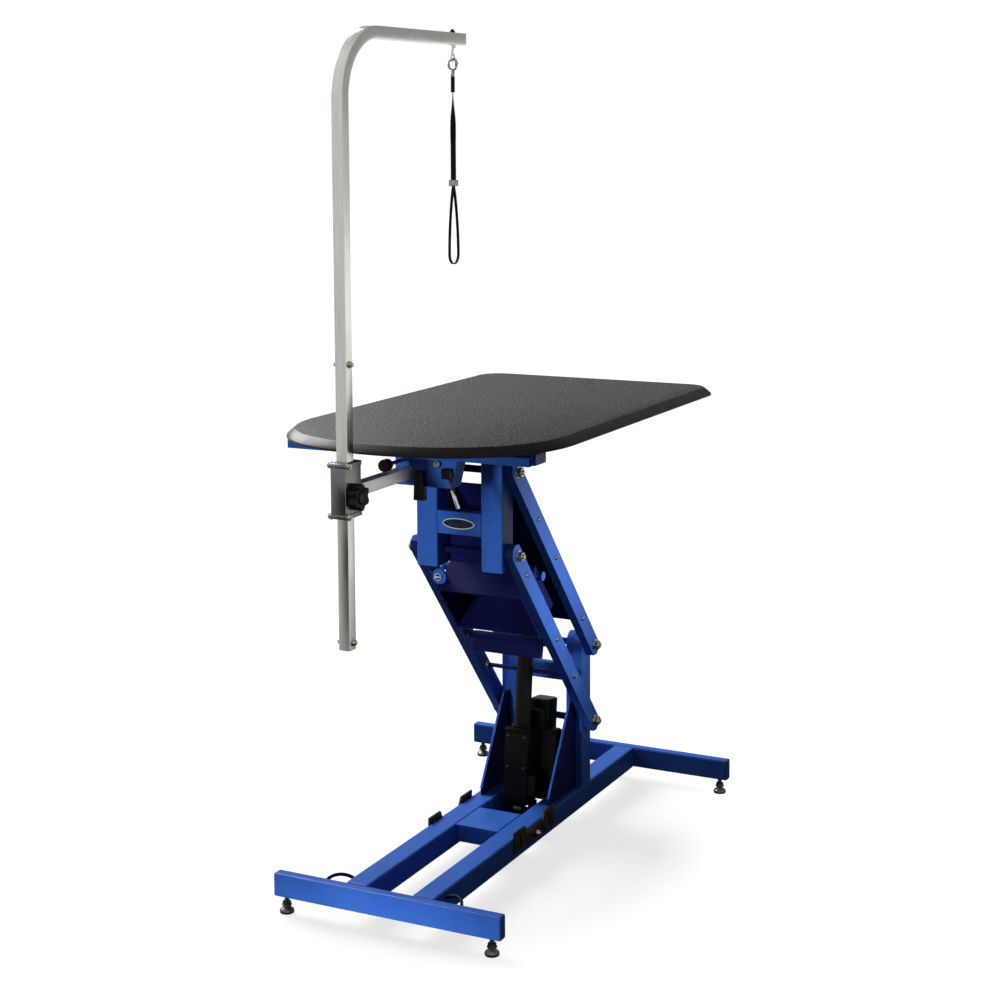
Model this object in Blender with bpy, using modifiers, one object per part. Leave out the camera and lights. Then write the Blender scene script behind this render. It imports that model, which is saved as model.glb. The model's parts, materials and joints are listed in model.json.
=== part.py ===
"""Electric-lift pet grooming table: base, parallelogram lift, tabletop and restraint post.

Metres, +Z up, +X to the right seen from the front, +Y to the rear. The origin is on the floor under the
middle of the object's box. The table is shown raised, as it stands in the photograph.
"""
import math

import bpy
from mathutils import Matrix, Vector

# clearances
GAP = 0.0003
TURN_GAP = 0.0004
SLIDE_GAP = 0.0004
ROD_EYE_PLAY = 0.0036

# base frame
FRONT_BAR_Y = -0.5095
BASE_LENGTH = 1.0940
BAR_DEPTH = 0.025
BAR_HEIGHT = 0.050
BAR_BEVEL = 0.004
FRONT_BAR_LENGTH = 0.525
REAR_BAR_LENGTH = 0.692
FLOOR_CLEARANCE = 0.035
RAIL_WIDTH = 0.050
RAIL_INNER_X = 0.0525
CROSS_SETBACK = 0.413
CROSS_DEPTH = 0.117
CROSS_HEIGHT = 0.040
REAR_Y = FRONT_BAR_Y + BASE_LENGTH
BASE_TOP = FLOOR_CLEARANCE + BAR_HEIGHT
RAIL_OUTER_X = RAIL_INNER_X + RAIL_WIDTH
RAIL_X = RAIL_INNER_X + RAIL_WIDTH / 2
RAIL_START = FRONT_BAR_Y + BAR_DEPTH + GAP
RAIL_END = REAR_Y - BAR_DEPTH - GAP
CROSS_FRONT_Y = FRONT_BAR_Y + CROSS_SETBACK

# bent rods behind the front bar and slotted plates on the rails
LOOP_ROD = 0.0035
LOOP_SETBACK = 0.045
LOOP_DROP = 0.012
SLOT_PLATE_SETBACK = 0.385
SLOT_PLATE_LENGTH = 0.205
SLOT_PLATE_THICKNESS = 0.004
SLOT_PLATE_DROP = 0.033
SLOT_TAB_LENGTH = 0.052
SLOT_TAB_SLOPE = 0.010
SLOT_TAB_HEIGHT = 0.013
SLOT_NOTCH_DROP = 0.005
SLOT_INSET = 0.028

# levelling feet
FRONT_FOOT_INSET = 0.0245
REAR_FOOT_INSET = 0.022
FRONT_FOOT_X = FRONT_BAR_LENGTH / 2 - FRONT_FOOT_INSET
REAR_FOOT_X = REAR_BAR_LENGTH / 2 - REAR_FOOT_INSET
FOOT_OVERHANG = 0.0025
FOOT_RADIUS = BAR_DEPTH / 2 + FOOT_OVERHANG
FOOT_STEM_RADIUS = 0.0050
FOOT_STEM_IN = 0.022
FOOT_NUT_RADIUS = 0.0085
FOOT_NUT_TOP = 0.0235
FOOT_NUT_HEIGHT = 0.0060

# mast
UPRIGHT_WIDTH = 0.020
UPRIGHT_DEPTH = 0.050
UPRIGHT_OUTER_X = RAIL_OUTER_X
UPRIGHT_INNER_X = UPRIGHT_OUTER_X - UPRIGHT_WIDTH
MAST_SETBACK = 0.7764
MAST_PIVOT_Y = FRONT_BAR_Y + MAST_SETBACK
UPRIGHT_AHEAD = 0.027
UPRIGHT_FRONT_Y = MAST_PIVOT_Y - UPRIGHT_AHEAD
GUSSET_THICKNESS = 0.005
GUSSET_LENGTH = 0.1464
GUSSET_TOP_LENGTH = 0.028
GUSSET_HEIGHT = 0.211
GUSSET_TOE = 0.016
PIVOT_ABOVE_BASE = 0.1566
LOWER_PIVOT_Z = BASE_TOP + PIVOT_ABOVE_BASE
MAST_BAR_RISE = 0.1044
MAST_BAR_Z = LOWER_PIVOT_Z + MAST_BAR_RISE
MAST_BAR_HEIGHT = 0.040
MAST_BAR_DEPTH = 0.020

# parallelogram
LINK_HEIGHT = 0.1807
ARM_ANGLE = math.radians(49.41)
ARM_LENGTH = 0.6220
ARM_WIDTH = 0.020
ARM_DEPTH = 0.040
ARM_END = 0.028
ARM_SIDE_GAP = 0.0010
ARM_INNER_X = UPRIGHT_OUTER_X + ARM_SIDE_GAP
ARM_OUTER_X = ARM_INNER_X + ARM_WIDTH
ARM_X = ARM_INNER_X + ARM_WIDTH / 2
SHAFT_RADIUS = 0.0080
SHAFT_HEAD_RADIUS = 0.0110
SHAFT_HEAD_HEIGHT = 0.0060
ROD_PIVOT_SHARE = 0.290
ROD_SHAFT_RADIUS = 0.0050
ROD_HEAD_RADIUS = 0.0075
CHANNEL_SHARE = 0.478
CHANNEL_DROP = 0.013
CHANNEL_LEAN = math.radians(14.7)
CHANNEL_HEIGHT = 0.0456
CHANNEL_DEPTH = 0.020
CHANNEL_END_GAP = 0.0192
CHANNEL_BOSS_RADIUS = 0.008
CHANNEL_BOSS_SHARE = 0.498
CHANNEL_BOSS_DROP = 0.0053
LINK_PLATE = 0.004
TRAY_LOW_SHARE = 0.585
TRAY_HIGH_SHARE = 0.803
TRAY_BELOW = 0.0255
TRAY_ABOVE = 0.0654
UPPER_PLATE_LOW_SHARE = 0.150
UPPER_PLATE_HIGH_SHARE = 0.915
STOP_TUBE_RADIUS = 0.010
STOP_TUBE_BEHIND = 0.0125
STOP_TUBE_LIFT = 0.050
UPPER_PIVOT_Z = LOWER_PIVOT_Z + LINK_HEIGHT
HEAD_PIVOT_Y = MAST_PIVOT_Y - ARM_LENGTH * math.cos(ARM_ANGLE)
HEAD_LOWER_Z = LOWER_PIVOT_Z + ARM_LENGTH * math.sin(ARM_ANGLE)
HEAD_UPPER_Z = HEAD_LOWER_Z + LINK_HEIGHT

# head, carried by the arms
LEG_WIDTH = 0.050
LEG_DEPTH = 0.055
LEG_OUTER_X = UPRIGHT_OUTER_X
LEG_INNER_X = LEG_OUTER_X - LEG_WIDTH
LEG_FRONT_SETBACK = 0.0337
LEG_BELOW_PIVOT = 0.0340
LEG_ABOVE_PIVOT = 0.05796
LEG_FRONT_Y = HEAD_PIVOT_Y - LEG_FRONT_SETBACK
LEG_BOTTOM_Z = HEAD_LOWER_Z - LEG_BELOW_PIVOT
LEG_TOP_Z = HEAD_UPPER_Z + LEG_ABOVE_PIVOT
HEAD_BAR_RISE = 0.06606
HEAD_BAR_Z = HEAD_LOWER_Z + HEAD_BAR_RISE
HEAD_BAR_HEIGHT = 0.050
HEAD_BAR_DEPTH = 0.030
BADGE_WIDTH = 0.076
BADGE_HEIGHT = 0.024
BADGE_THICKNESS = 0.0015

# frame and tabletop, on the head's legs
FRAME_TUBE = 0.024
FRAME_TUBE_WIDTH = 0.050
TABLE_LENGTH = 1.119
TABLE_OVERHANG = 0.299
FRAME_LENGTH = TABLE_LENGTH - TABLE_OVERHANG
FRAME_HALF_WIDTH = 0.268
FRAME_REAR_HALF_WIDTH = 0.235
FRAME_AHEAD = 0.1830
FRAME_BOTTOM_Z = LEG_TOP_Z + GAP
FRAME_FRONT_Y = LEG_FRONT_Y - FRAME_AHEAD
FRAME_REAR_Y = FRAME_FRONT_Y + FRAME_LENGTH - FRAME_TUBE_WIDTH
BOARD_THICKNESS = 0.0075
BOARD_INSET = 0.060
MAT_THICKNESS = 0.0186
MAT_SLOPE = 0.0182
BOARD_BOTTOM_Z = FRAME_BOTTOM_Z + FRAME_TUBE + GAP
TABLE_TOP_Z = BOARD_BOTTOM_Z + BOARD_THICKNESS + GAP + MAT_THICKNESS
TABLE_HALF_WIDTH = 0.313
TABLE_BOW_DEPTH = 0.282
TABLE_BOW_POWER = 2.22
TABLE_AHEAD = 0.1865
TABLE_FRONT_Y = FRAME_FRONT_Y - TABLE_AHEAD
TABLE_REAR_Y = TABLE_FRONT_Y + TABLE_LENGTH
TABLE_CORNER = 0.070

# restraint post, its sleeve, boom and bracket, hung from the frame
POST_SIZE = 0.025
POST_X = -0.045
BRACKET_SETBACK = 0.041
BRACKET_DEPTH = 0.042
BRACKET_LEFT_X = -0.072
BRACKET_RIGHT_X = 0.058
BRACKET_TOP_RIGHT_X = 0.074
BOOM_DROP = 0.0419
BRACKET_BELOW_BOOM = 0.027
POST_REACH = 0.246
BOOM_TAIL = 0.074
BRACKET_FRONT_Y = FRAME_FRONT_Y + BRACKET_SETBACK
BOOM_Z = FRAME_BOTTOM_Z - BOOM_DROP
BRACKET_BOTTOM_Z = BOOM_Z - BRACKET_BELOW_BOOM
BOOM_REAR_Y = BRACKET_FRONT_Y + BRACKET_DEPTH + BOOM_TAIL
POST_Y = BRACKET_FRONT_Y - POST_REACH
POST_BELOW_BOOM = 0.313
POST_ABOVE_BOOM = 0.891
POST_BEND = 0.130
POST_ARM_REACH = 0.500
POST_BOTTOM_Z = BOOM_Z - POST_BELOW_BOOM
POST_ARM_Z = BOOM_Z + POST_ABOVE_BOOM
POST_ARM_END_Y = POST_Y + POST_ARM_REACH
POST_PIN_RADIUS = 0.004
POST_PIN_PROUD = 0.010
POST_PIN_END = 0.015
POST_PIN_ABOVE_BOOM = 0.2515
POST_PIN_LOW_Z = POST_BOTTOM_Z + POST_PIN_END
POST_PIN_HIGH_Z = BOOM_Z + POST_PIN_ABOVE_BOOM
SLEEVE_WALL = 0.0041
SLEEVE_WIDTH = POST_SIZE + 2 * (SLIDE_GAP + SLEEVE_WALL)
SLEEVE_DEPTH = 0.060
SLEEVE_HEIGHT = 0.110
SLEEVE_AHEAD = 0.0275
SLEEVE_BELOW_BOOM = 0.049
SLEEVE_FRONT_Y = POST_Y - SLEEVE_AHEAD
SLEEVE_BOTTOM_Z = BOOM_Z - SLEEVE_BELOW_BOOM
SLEEVE_BOLT_RADIUS = 0.004
SLEEVE_BOLT_PROUD = 0.005
SLEEVE_BOLT_INSET = 0.0068
SLEEVE_BOLT_END = 0.0055

# knob, screw, lever and grip of the post holder
KNOB_RADIUS = 0.0270
KNOB_THICKNESS = 0.0210
KNOB_STANDOFF = 0.0015
KNOB_BELOW_BOOM = 0.0065
KNOB_Z = BOOM_Z - KNOB_BELOW_BOOM
STUD_RADIUS = 0.0050
STUB_DEPTH = 0.021
STUB_END_PLAY = 0.004
SCREW_RADIUS = 0.0040
SCREW_ABOVE_BOOM = 0.0160
SCREW_Z = BOOM_Z + POST_SIZE / 2 + SCREW_ABOVE_BOOM
SCREW_AHEAD = 0.092
SCREW_KNOB_RADIUS = 0.0130
SCREW_KNOB_LENGTH = 0.020
LEVER_X = 0.052
LEVER_Z = BOOM_Z + 0.005
LEVER_HUB_RADIUS = 0.011
LEVER_HUB_LENGTH = 0.014
LEVER_STUB_RADIUS = 0.005
LEVER_ROD_RADIUS = 0.0045
LEVER_LENGTH = 0.085
LEVER_SLANT = math.radians(20)
LEVER_STANDOFF = 0.001
GRIP_X = -0.010
GRIP_Z = BOOM_Z + 0.001
GRIP_WIDTH = 0.024
GRIP_DEPTH = 0.014
GRIP_LENGTH = 0.060
GRIP_ABOVE = 0.005
GRIP_STUB_RADIUS = 0.004
GRIP_STANDOFF = 0.0015
BRACKET_BOLT_X = 0.028
BRACKET_BOLT_Z = BOOM_Z + 0.023
BRACKET_BOLT_RADIUS = 0.007
BRACKET_BOLT_HEIGHT = 0.006

# noose, hung from the post's arm
NOOSE_SETBACK = 0.039
EYE_DROP = 0.024
EYE_RING = 0.0090
EYE_WIRE = 0.0022
EYE_SHANK_RADIUS = 0.0040
EYE_THREAD_ABOVE = 0.0187
EYE_NUT_RADIUS = 0.0080
EYE_NUT_HEIGHT = 0.0070
HOOK_RING = 0.0100
HOOK_WIRE = 0.0020
HOOK_PLAY = 0.0004
HOOK_SHANK_RADIUS = 0.0036
HOOK_SHANK_LENGTH = 0.016
SWIVEL_RADIUS = 0.0044
SWIVEL_LENGTH = 0.0335
TAPE_WIDTH = 0.012
TAPE_THICKNESS = 0.0020
TAPE_PLAY = 0.0005
TAPE_END_GAP = 0.0006
LEG_GAP = 0.0004
STRAP_LENGTH = 0.1904
SLIDER_HEIGHT = 0.013
SLIDER_WALL = 0.0030
LOOP_DEPTH = 0.172
LOOP_HALF_OPENING = 0.020
NOOSE_Y = POST_ARM_END_Y - NOOSE_SETBACK
EYE_Z = POST_ARM_Z - POST_SIZE / 2 - EYE_DROP
HOOK_Z = EYE_Z - EYE_RING + EYE_WIRE + HOOK_WIRE + HOOK_PLAY - HOOK_RING
SWIVEL_TOP_Z = HOOK_Z - HOOK_RING - HOOK_WIRE / 2 - HOOK_SHANK_LENGTH - GAP
STRAP_TOP_Z = SWIVEL_TOP_Z - SWIVEL_LENGTH - GAP
SLIDER_Z = STRAP_TOP_Z - STRAP_LENGTH - TAPE_END_GAP
LOOP_BOTTOM_Z = SLIDER_Z - LOOP_DEPTH

# actuator, on a pin between the rails
ACTUATOR_AHEAD = 0.1504
ACTUATOR_DROP = 0.026
ACTUATOR_FOOT_Y = MAST_PIVOT_Y - ACTUATOR_AHEAD
ACTUATOR_FOOT_Z = BASE_TOP - ACTUATOR_DROP
FOOT_PLATE_LENGTH = 0.048
FOOT_PLATE_THICKNESS = 0.006
FOOT_PLATE_DROP = 0.019
FOOT_PIN_RADIUS = 0.006
FOOT_PIN_PROUD = 0.006
EAR_THICKNESS = 0.006
EAR_LENGTH = 0.036
EAR_CLEARANCE = 0.003
HOUSING_SIZE = 0.056
HOUSING_LENGTH = 0.190
HOUSING_START = 0.014
LUG_WIDTH = 0.030
LUG_DEPTH = 0.026
LUG_OVERLAP = 0.008
LUG_BELOW_PIN = 0.014
GEARBOX_WIDTH = 0.068
GEARBOX_DEPTH = 0.122
GEARBOX_HEIGHT = 0.046
GEARBOX_X = 0.014
GEARBOX_Y = 0.038
GEARBOX_TOP = 0.085
COLLAR_STEP = 0.003
COLLAR_HEIGHT = 0.008
ROD_RADIUS = 0.0185
ROD_WELL = 0.020
ROD_INSIDE = 0.060
ROD_EYE_END = 0.040
MOTOR_RADIUS = 0.0250
MOTOR_LENGTH = 0.160
MOTOR_X = 0.020
MOTOR_Y = 0.071

for old in list(bpy.data.objects):
    bpy.data.objects.remove(old, do_unlink=True)

PARTS = bpy.data.collections.new("pet_grooming_table")
bpy.context.scene.collection.children.link(PARTS)
CUTTERS = bpy.data.collections.new("cutters")
bpy.context.scene.collection.children.link(CUTTERS)


def material(name, colour, metallic, roughness):
    made = bpy.data.materials.new(name)
    made.use_nodes = True
    shader = made.node_tree.nodes["Principled BSDF"]
    shader.inputs["Base Color"].default_value = (colour[0], colour[1], colour[2], 1.0)
    shader.inputs["Metallic"].default_value = metallic
    shader.inputs["Roughness"].default_value = roughness
    return made


BLUE = material("blue_powder_coat", (0.05, 0.15, 0.62), 0.0, 0.35)
NAVY = material("dark_blue_powder_coat", (0.02, 0.03, 0.16), 0.0, 0.4)
BLACK = material("black_plastic", (0.012, 0.012, 0.013), 0.0, 0.4)
RUBBER = material("black_rubber", (0.03, 0.03, 0.03), 0.0, 0.8)
STEEL = material("polished_steel", (0.72, 0.72, 0.73), 1.0, 0.2)
ZINC = material("zinc_plated_steel", (0.55, 0.55, 0.56), 1.0, 0.35)
SILVER = material("silver_plate", (0.75, 0.76, 0.8), 0.6, 0.3)
WEB = material("black_webbing", (0.01, 0.01, 0.01), 0.0, 0.9)


def take(obj, name, stuff, home=PARTS):
    """Name an object, give it its material and move it to one collection."""
    obj.name = name
    obj.data.name = name
    obj.data.materials.clear()
    obj.data.materials.append(stuff)
    for owner in list(obj.users_collection):
        owner.objects.unlink(obj)
    home.objects.link(obj)
    if home is CUTTERS:
        obj.hide_render = True
        obj.display_type = "WIRE"
    return obj


def apply_all(obj):
    bpy.ops.object.select_all(action="DESELECT")
    obj.select_set(True)
    bpy.context.view_layer.objects.active = obj
    bpy.ops.object.transform_apply(location=False, rotation=True, scale=True)


def round_edges(obj, width, segments=2):
    bevel = obj.modifiers.new("round_edges", "BEVEL")
    bevel.width = width
    bevel.segments = segments
    bevel.limit_method = "ANGLE"
    bevel.angle_limit = math.radians(40)
    return obj


def box(name, size, centre, stuff, bevel=0.0, home=PARTS):
    bpy.ops.mesh.primitive_cube_add(size=1, location=centre)
    obj = take(bpy.context.object, name, stuff, home)
    obj.scale = size
    apply_all(obj)
    if bevel:
        round_edges(obj, bevel)
    return obj


def rod(name, radius, length, centre, axis, stuff, home=PARTS, sides=24):
    bpy.ops.mesh.primitive_cylinder_add(vertices=sides, radius=radius, depth=length, location=centre)
    obj = take(bpy.context.object, name, stuff, home)
    if axis == "X":
        obj.rotation_euler = (0, math.pi / 2, 0)
    if axis == "Y":
        obj.rotation_euler = (math.pi / 2, 0, 0)
    apply_all(obj)
    return obj


def ring(name, major, minor, centre, axis, stuff, home=CUTTERS):
    bpy.ops.mesh.primitive_torus_add(
        major_segments=28, minor_segments=10, major_radius=major, minor_radius=minor, location=centre
    )
    obj = take(bpy.context.object, name, stuff, home)
    if axis == "X":
        obj.rotation_euler = (0, math.pi / 2, 0)
    if axis == "Y":
        obj.rotation_euler = (math.pi / 2, 0, 0)
    apply_all(obj)
    return obj


def lathe(name, profile, centre, stuff, steps=24, home=PARTS):
    """Turn a profile of (radius, height) pairs, listed from the top down, about Z."""
    shape = bpy.data.meshes.new(name)
    points = [(radius, 0.0, height) for radius, height in profile]
    shape.from_pydata(points, [(k, k + 1) for k in range(len(points) - 1)], [])
    obj = bpy.data.objects.new(name, shape)
    bpy.context.scene.collection.objects.link(obj)
    take(obj, name, stuff, home)
    obj.location = centre
    turn = obj.modifiers.new("turn", "SCREW")
    turn.steps = steps
    turn.render_steps = steps
    turn.use_merge_vertices = True
    turn.merge_threshold = 0.00001
    turn.use_smooth_shade = False
    return obj


def to_mesh(obj):
    """Turn a curve into a mesh and close the seam at its caps."""
    bpy.ops.object.select_all(action="DESELECT")
    obj.select_set(True)
    bpy.context.view_layer.objects.active = obj
    bpy.ops.object.convert(target="MESH")
    bpy.ops.object.mode_set(mode="EDIT")
    bpy.ops.mesh.select_all(action="SELECT")
    bpy.ops.mesh.remove_doubles(threshold=0.00005)
    bpy.ops.mesh.normals_make_consistent(inside=False)
    bpy.ops.object.mode_set(mode="OBJECT")
    return obj


def plate(name, outline, thickness, centre, facing, stuff, home=PARTS):
    """A flat plate from a 2D outline. Facing X: outline is (y, z). Facing Y: (x, z). Facing Z: (x, y)."""
    curve = bpy.data.curves.new(name, "CURVE")
    curve.dimensions = "2D"
    curve.fill_mode = "BOTH"
    line = curve.splines.new("POLY")
    line.points.add(len(outline) - 1)
    for point, (a, b) in zip(line.points, outline):
        point.co = (a, b, 0.0, 1.0)
    line.use_cyclic_u = True
    obj = bpy.data.objects.new(name, curve)
    bpy.context.scene.collection.objects.link(obj)
    take(obj, name, stuff, home)
    if facing == "X":
        turned = Matrix(((0, 0, 1), (1, 0, 0), (0, 1, 0)))
        obj.matrix_world = Matrix.Translation(centre) @ turned.to_4x4()
    if facing == "Y":
        turned = Matrix(((1, 0, 0), (0, 0, -1), (0, 1, 0)))
        obj.matrix_world = Matrix.Translation(centre) @ turned.to_4x4()
    if facing == "Z":
        obj.location = centre
    to_mesh(obj)
    thick = obj.modifiers.new("thickness", "SOLIDIFY")
    thick.thickness = thickness
    thick.offset = 0.0
    return obj


def boolean(obj, tool, operation):
    step = obj.modifiers.new(operation.lower(), "BOOLEAN")
    step.operation = operation
    step.solver = "EXACT"
    step.object = tool
    return obj


def cut(obj, tool):
    return boolean(obj, tool, "DIFFERENCE")


def fuse(obj, tool):
    return boolean(obj, tool, "UNION")


def arc(cx, cy, radius, start, end, steps):
    return [
        (
            cx + radius * math.cos(math.radians(start + (end - start) * k / steps)),
            cy + radius * math.sin(math.radians(start + (end - start) * k / steps)),
        )
        for k in range(steps + 1)
    ]


def side_name(sign):
    return "left" if sign < 0 else "right"


def on_arm(pivot_z, share, lift=0.0):
    """Place on an arm's centre line, by its share of the length from the mast, moved square to it by lift."""
    run = ARM_LENGTH * share
    y = MAST_PIVOT_Y - run * math.cos(ARM_ANGLE) + lift * math.sin(ARM_ANGLE)
    z = pivot_z + run * math.sin(ARM_ANGLE) + lift * math.cos(ARM_ANGLE)
    return y, z


ROD_PIVOT_Y, ROD_PIVOT_Z = on_arm(LOWER_PIVOT_Z, ROD_PIVOT_SHARE)

# base frame
front_bar = box(
    "front_bar", (FRONT_BAR_LENGTH, BAR_DEPTH, BAR_HEIGHT),
    (0, FRONT_BAR_Y + BAR_DEPTH / 2, FLOOR_CLEARANCE + BAR_HEIGHT / 2), BLUE, BAR_BEVEL,
)
rear_bar = box(
    "rear_bar", (REAR_BAR_LENGTH, BAR_DEPTH, BAR_HEIGHT),
    (0, REAR_Y - BAR_DEPTH / 2, FLOOR_CLEARANCE + BAR_HEIGHT / 2), BLUE, BAR_BEVEL,
)
base_nodes = [front_bar, rear_bar]
for sign in (-1, 1):
    rail = box(
        "rail_" + side_name(sign), (RAIL_WIDTH, RAIL_END - RAIL_START, BAR_HEIGHT),
        (sign * RAIL_X, (RAIL_START + RAIL_END) / 2, FLOOR_CLEARANCE + BAR_HEIGHT / 2), BLUE, BAR_BEVEL,
    )
    base_nodes.append(rail)
cross_member = box(
    "cross_member", (2 * (RAIL_INNER_X - GAP), CROSS_DEPTH, CROSS_HEIGHT),
    (0, CROSS_FRONT_Y + CROSS_DEPTH / 2, BASE_TOP - CROSS_HEIGHT / 2), BLUE, 0.002,
)
base_nodes.append(cross_member)

# levelling feet: a domed pad and a threaded stem that goes up into the bar
feet = []
for bar, foot_x, foot_y in (
    (front_bar, FRONT_FOOT_X, FRONT_BAR_Y + BAR_DEPTH / 2),
    (rear_bar, REAR_FOOT_X, REAR_Y - BAR_DEPTH / 2),
):
    for sign in (-1, 1):
        label = ("front_" if bar is front_bar else "rear_") + side_name(sign)
        profile = [
            (0.0, FLOOR_CLEARANCE + FOOT_STEM_IN), (FOOT_STEM_RADIUS, FLOOR_CLEARANCE + FOOT_STEM_IN),
            (FOOT_STEM_RADIUS, FOOT_NUT_TOP), (FOOT_NUT_RADIUS, FOOT_NUT_TOP),
            (FOOT_NUT_RADIUS, FOOT_NUT_TOP - FOOT_NUT_HEIGHT), (0.0065, 0.0150), (0.0110, 0.0125),
            (FOOT_RADIUS - 0.0012, 0.0085), (FOOT_RADIUS, 0.0060), (FOOT_RADIUS, 0.0015),
            (FOOT_RADIUS - 0.0015, 0.0), (0.0, 0.0),
        ]
        foot = lathe("foot_" + label, profile, (sign * foot_x, foot_y, 0.0), RUBBER)
        feet.append(foot)
        hole_top = FLOOR_CLEARANCE + FOOT_STEM_IN + 0.002
        hole = rod(
            "hole_foot_" + label, FOOT_STEM_RADIUS + TURN_GAP, hole_top - FLOOR_CLEARANCE + 0.01,
            (sign * foot_x, foot_y, (hole_top + FLOOR_CLEARANCE - 0.01) / 2), "Z", ZINC, CUTTERS,
        )
        cut(bar, hole)

# mast uprights with a rounded top, gussets in front of them and a bar between them
for sign in (-1, 1):
    near = UPRIGHT_FRONT_Y
    far = UPRIGHT_FRONT_Y + UPRIGHT_DEPTH
    top_arc = arc((near + far) / 2, UPPER_PIVOT_Z, UPRIGHT_DEPTH / 2, 0, 180, 14)
    outline = [(near, BASE_TOP + GAP), (far, BASE_TOP + GAP)] + top_arc
    upright = plate(
        "upright_" + side_name(sign), outline, UPRIGHT_WIDTH,
        (sign * (UPRIGHT_INNER_X + UPRIGHT_WIDTH / 2), 0, 0), "X", BLUE,
    )
    for height in (LOWER_PIVOT_Z, UPPER_PIVOT_Z):
        hole = rod(
            "hole_upright_%s_%d" % (side_name(sign), round(height * 1000)), SHAFT_RADIUS + GAP, 0.06,
            (sign * (UPRIGHT_INNER_X + UPRIGHT_WIDTH / 2), MAST_PIVOT_Y, height), "X", ZINC, CUTTERS,
        )
        cut(upright, hole)
    outline = [
        (near - GUSSET_LENGTH, BASE_TOP + GAP), (near - GAP, BASE_TOP + GAP),
        (near - GAP, BASE_TOP + GUSSET_HEIGHT), (near - GUSSET_TOP_LENGTH, BASE_TOP + GUSSET_HEIGHT),
        (near - GUSSET_LENGTH, BASE_TOP + GUSSET_TOE),
    ]
    gusset = plate(
        "gusset_" + side_name(sign), outline, GUSSET_THICKNESS,
        (sign * (UPRIGHT_INNER_X + GUSSET_THICKNESS / 2), 0, 0), "X", NAVY,
    )
    base_nodes += [upright, gusset]
mast_bar = box(
    "mast_bar", (2 * (UPRIGHT_INNER_X - GAP), MAST_BAR_DEPTH, MAST_BAR_HEIGHT),
    (0, UPRIGHT_FRONT_Y + UPRIGHT_DEPTH - 0.002 - MAST_BAR_DEPTH / 2, MAST_BAR_Z), BLUE, 0.002,
)
base_nodes.append(mast_bar)

# bent rods in the corners behind the front bar
for sign in (-1, 1):
    curve = bpy.data.curves.new("corner_loop_" + side_name(sign), "CURVE")
    curve.dimensions = "3D"
    curve.bevel_depth = LOOP_ROD
    curve.bevel_resolution = 2
    curve.use_fill_caps = True
    line = curve.splines.new("POLY")
    start = Vector((sign * (RAIL_OUTER_X + LOOP_ROD + GAP), RAIL_START + LOOP_SETBACK, BASE_TOP - LOOP_DROP))
    bend = [
        (0.0, 0.0, 0.0), (0.004, -0.001, 0.011), (0.018, -0.010, 0.019), (0.036, -0.022, 0.014),
        (0.048, -0.032, 0.002), (0.052, LOOP_ROD - LOOP_SETBACK, -0.010),
    ]
    line.points.add(len(bend) - 1)
    for point, (dx, dy, dz) in zip(line.points, bend):
        point.co = (start.x + sign * dx, start.y + dy, start.z + dz, 1.0)
    obj = bpy.data.objects.new("corner_loop_" + side_name(sign), curve)
    bpy.context.scene.collection.objects.link(obj)
    take(obj, "corner_loop_" + side_name(sign), NAVY)
    to_mesh(obj)
    base_nodes.append(obj)

# slotted plates on the outer faces of the rails, each with two tabs above the rail
for sign in (-1, 1):
    start = FRONT_BAR_Y + SLOT_PLATE_SETBACK
    end = start + SLOT_PLATE_LENGTH
    low = BASE_TOP - SLOT_PLATE_DROP
    high = BASE_TOP + SLOT_TAB_HEIGHT
    notch = BASE_TOP - SLOT_NOTCH_DROP
    outline = [
        (start, low), (end, low), (end, high), (end - SLOT_TAB_LENGTH, high),
        (end - SLOT_TAB_LENGTH - SLOT_TAB_SLOPE, notch), (start + SLOT_TAB_LENGTH + SLOT_TAB_SLOPE, notch),
        (start + SLOT_TAB_LENGTH, high), (start, high),
    ]
    plate_x = sign * (RAIL_OUTER_X + GAP + SLOT_PLATE_THICKNESS / 2)
    slotted = plate(
        "keyhole_plate_" + side_name(sign), outline, SLOT_PLATE_THICKNESS, (plate_x, 0, 0), "X", ZINC
    )
    for k, slot_y in enumerate((start + SLOT_INSET, end - SLOT_INSET)):
        key = arc(slot_y, BASE_TOP - 0.017, 0.006, 150, 390, 10)
        key += arc(slot_y, BASE_TOP - 0.001, 0.0035, 0, 180, 8)
        tool = plate(
            "slot_%s_%d" % (side_name(sign), k), key, 5 * SLOT_PLATE_THICKNESS, (plate_x, 0, 0), "X",
            ZINC, CUTTERS,
        )
        cut(slotted, tool)
    bolt = rod(
        "plate_bolt_" + side_name(sign), 0.007, 0.007,
        (plate_x + sign * (SLOT_PLATE_THICKNESS / 2 + 0.0025), (start + end) / 2, BASE_TOP - 0.019), "X", ZINC,
        CUTTERS, 6,
    )
    fuse(slotted, bolt)
    base_nodes.append(slotted)

# actuator foot between the rails: a cross plate, two ears and a pin
foot_plate = box(
    "actuator_foot", (2 * (RAIL_INNER_X - GAP), FOOT_PLATE_LENGTH, FOOT_PLATE_THICKNESS),
    (0, ACTUATOR_FOOT_Y, ACTUATOR_FOOT_Z - FOOT_PLATE_DROP), NAVY,
)
ear_x = HOUSING_SIZE / 2 + EAR_CLEARANCE + EAR_THICKNESS / 2
for sign in (-1, 1):
    ear = box(
        "foot_ear_" + side_name(sign), (EAR_THICKNESS, EAR_LENGTH, 2 * FOOT_PLATE_DROP),
        (sign * ear_x, ACTUATOR_FOOT_Y, ACTUATOR_FOOT_Z + 0.001), NAVY, 0.0, CUTTERS,
    )
    fuse(foot_plate, ear)
pin_length = 2 * (ear_x + EAR_THICKNESS / 2 + FOOT_PIN_PROUD)
foot_pin = rod(
    "foot_pin", FOOT_PIN_RADIUS, pin_length, (0, ACTUATOR_FOOT_Y, ACTUATOR_FOOT_Z), "X", NAVY, CUTTERS
)
fuse(foot_plate, foot_pin)
base_nodes.append(foot_plate)


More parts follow.
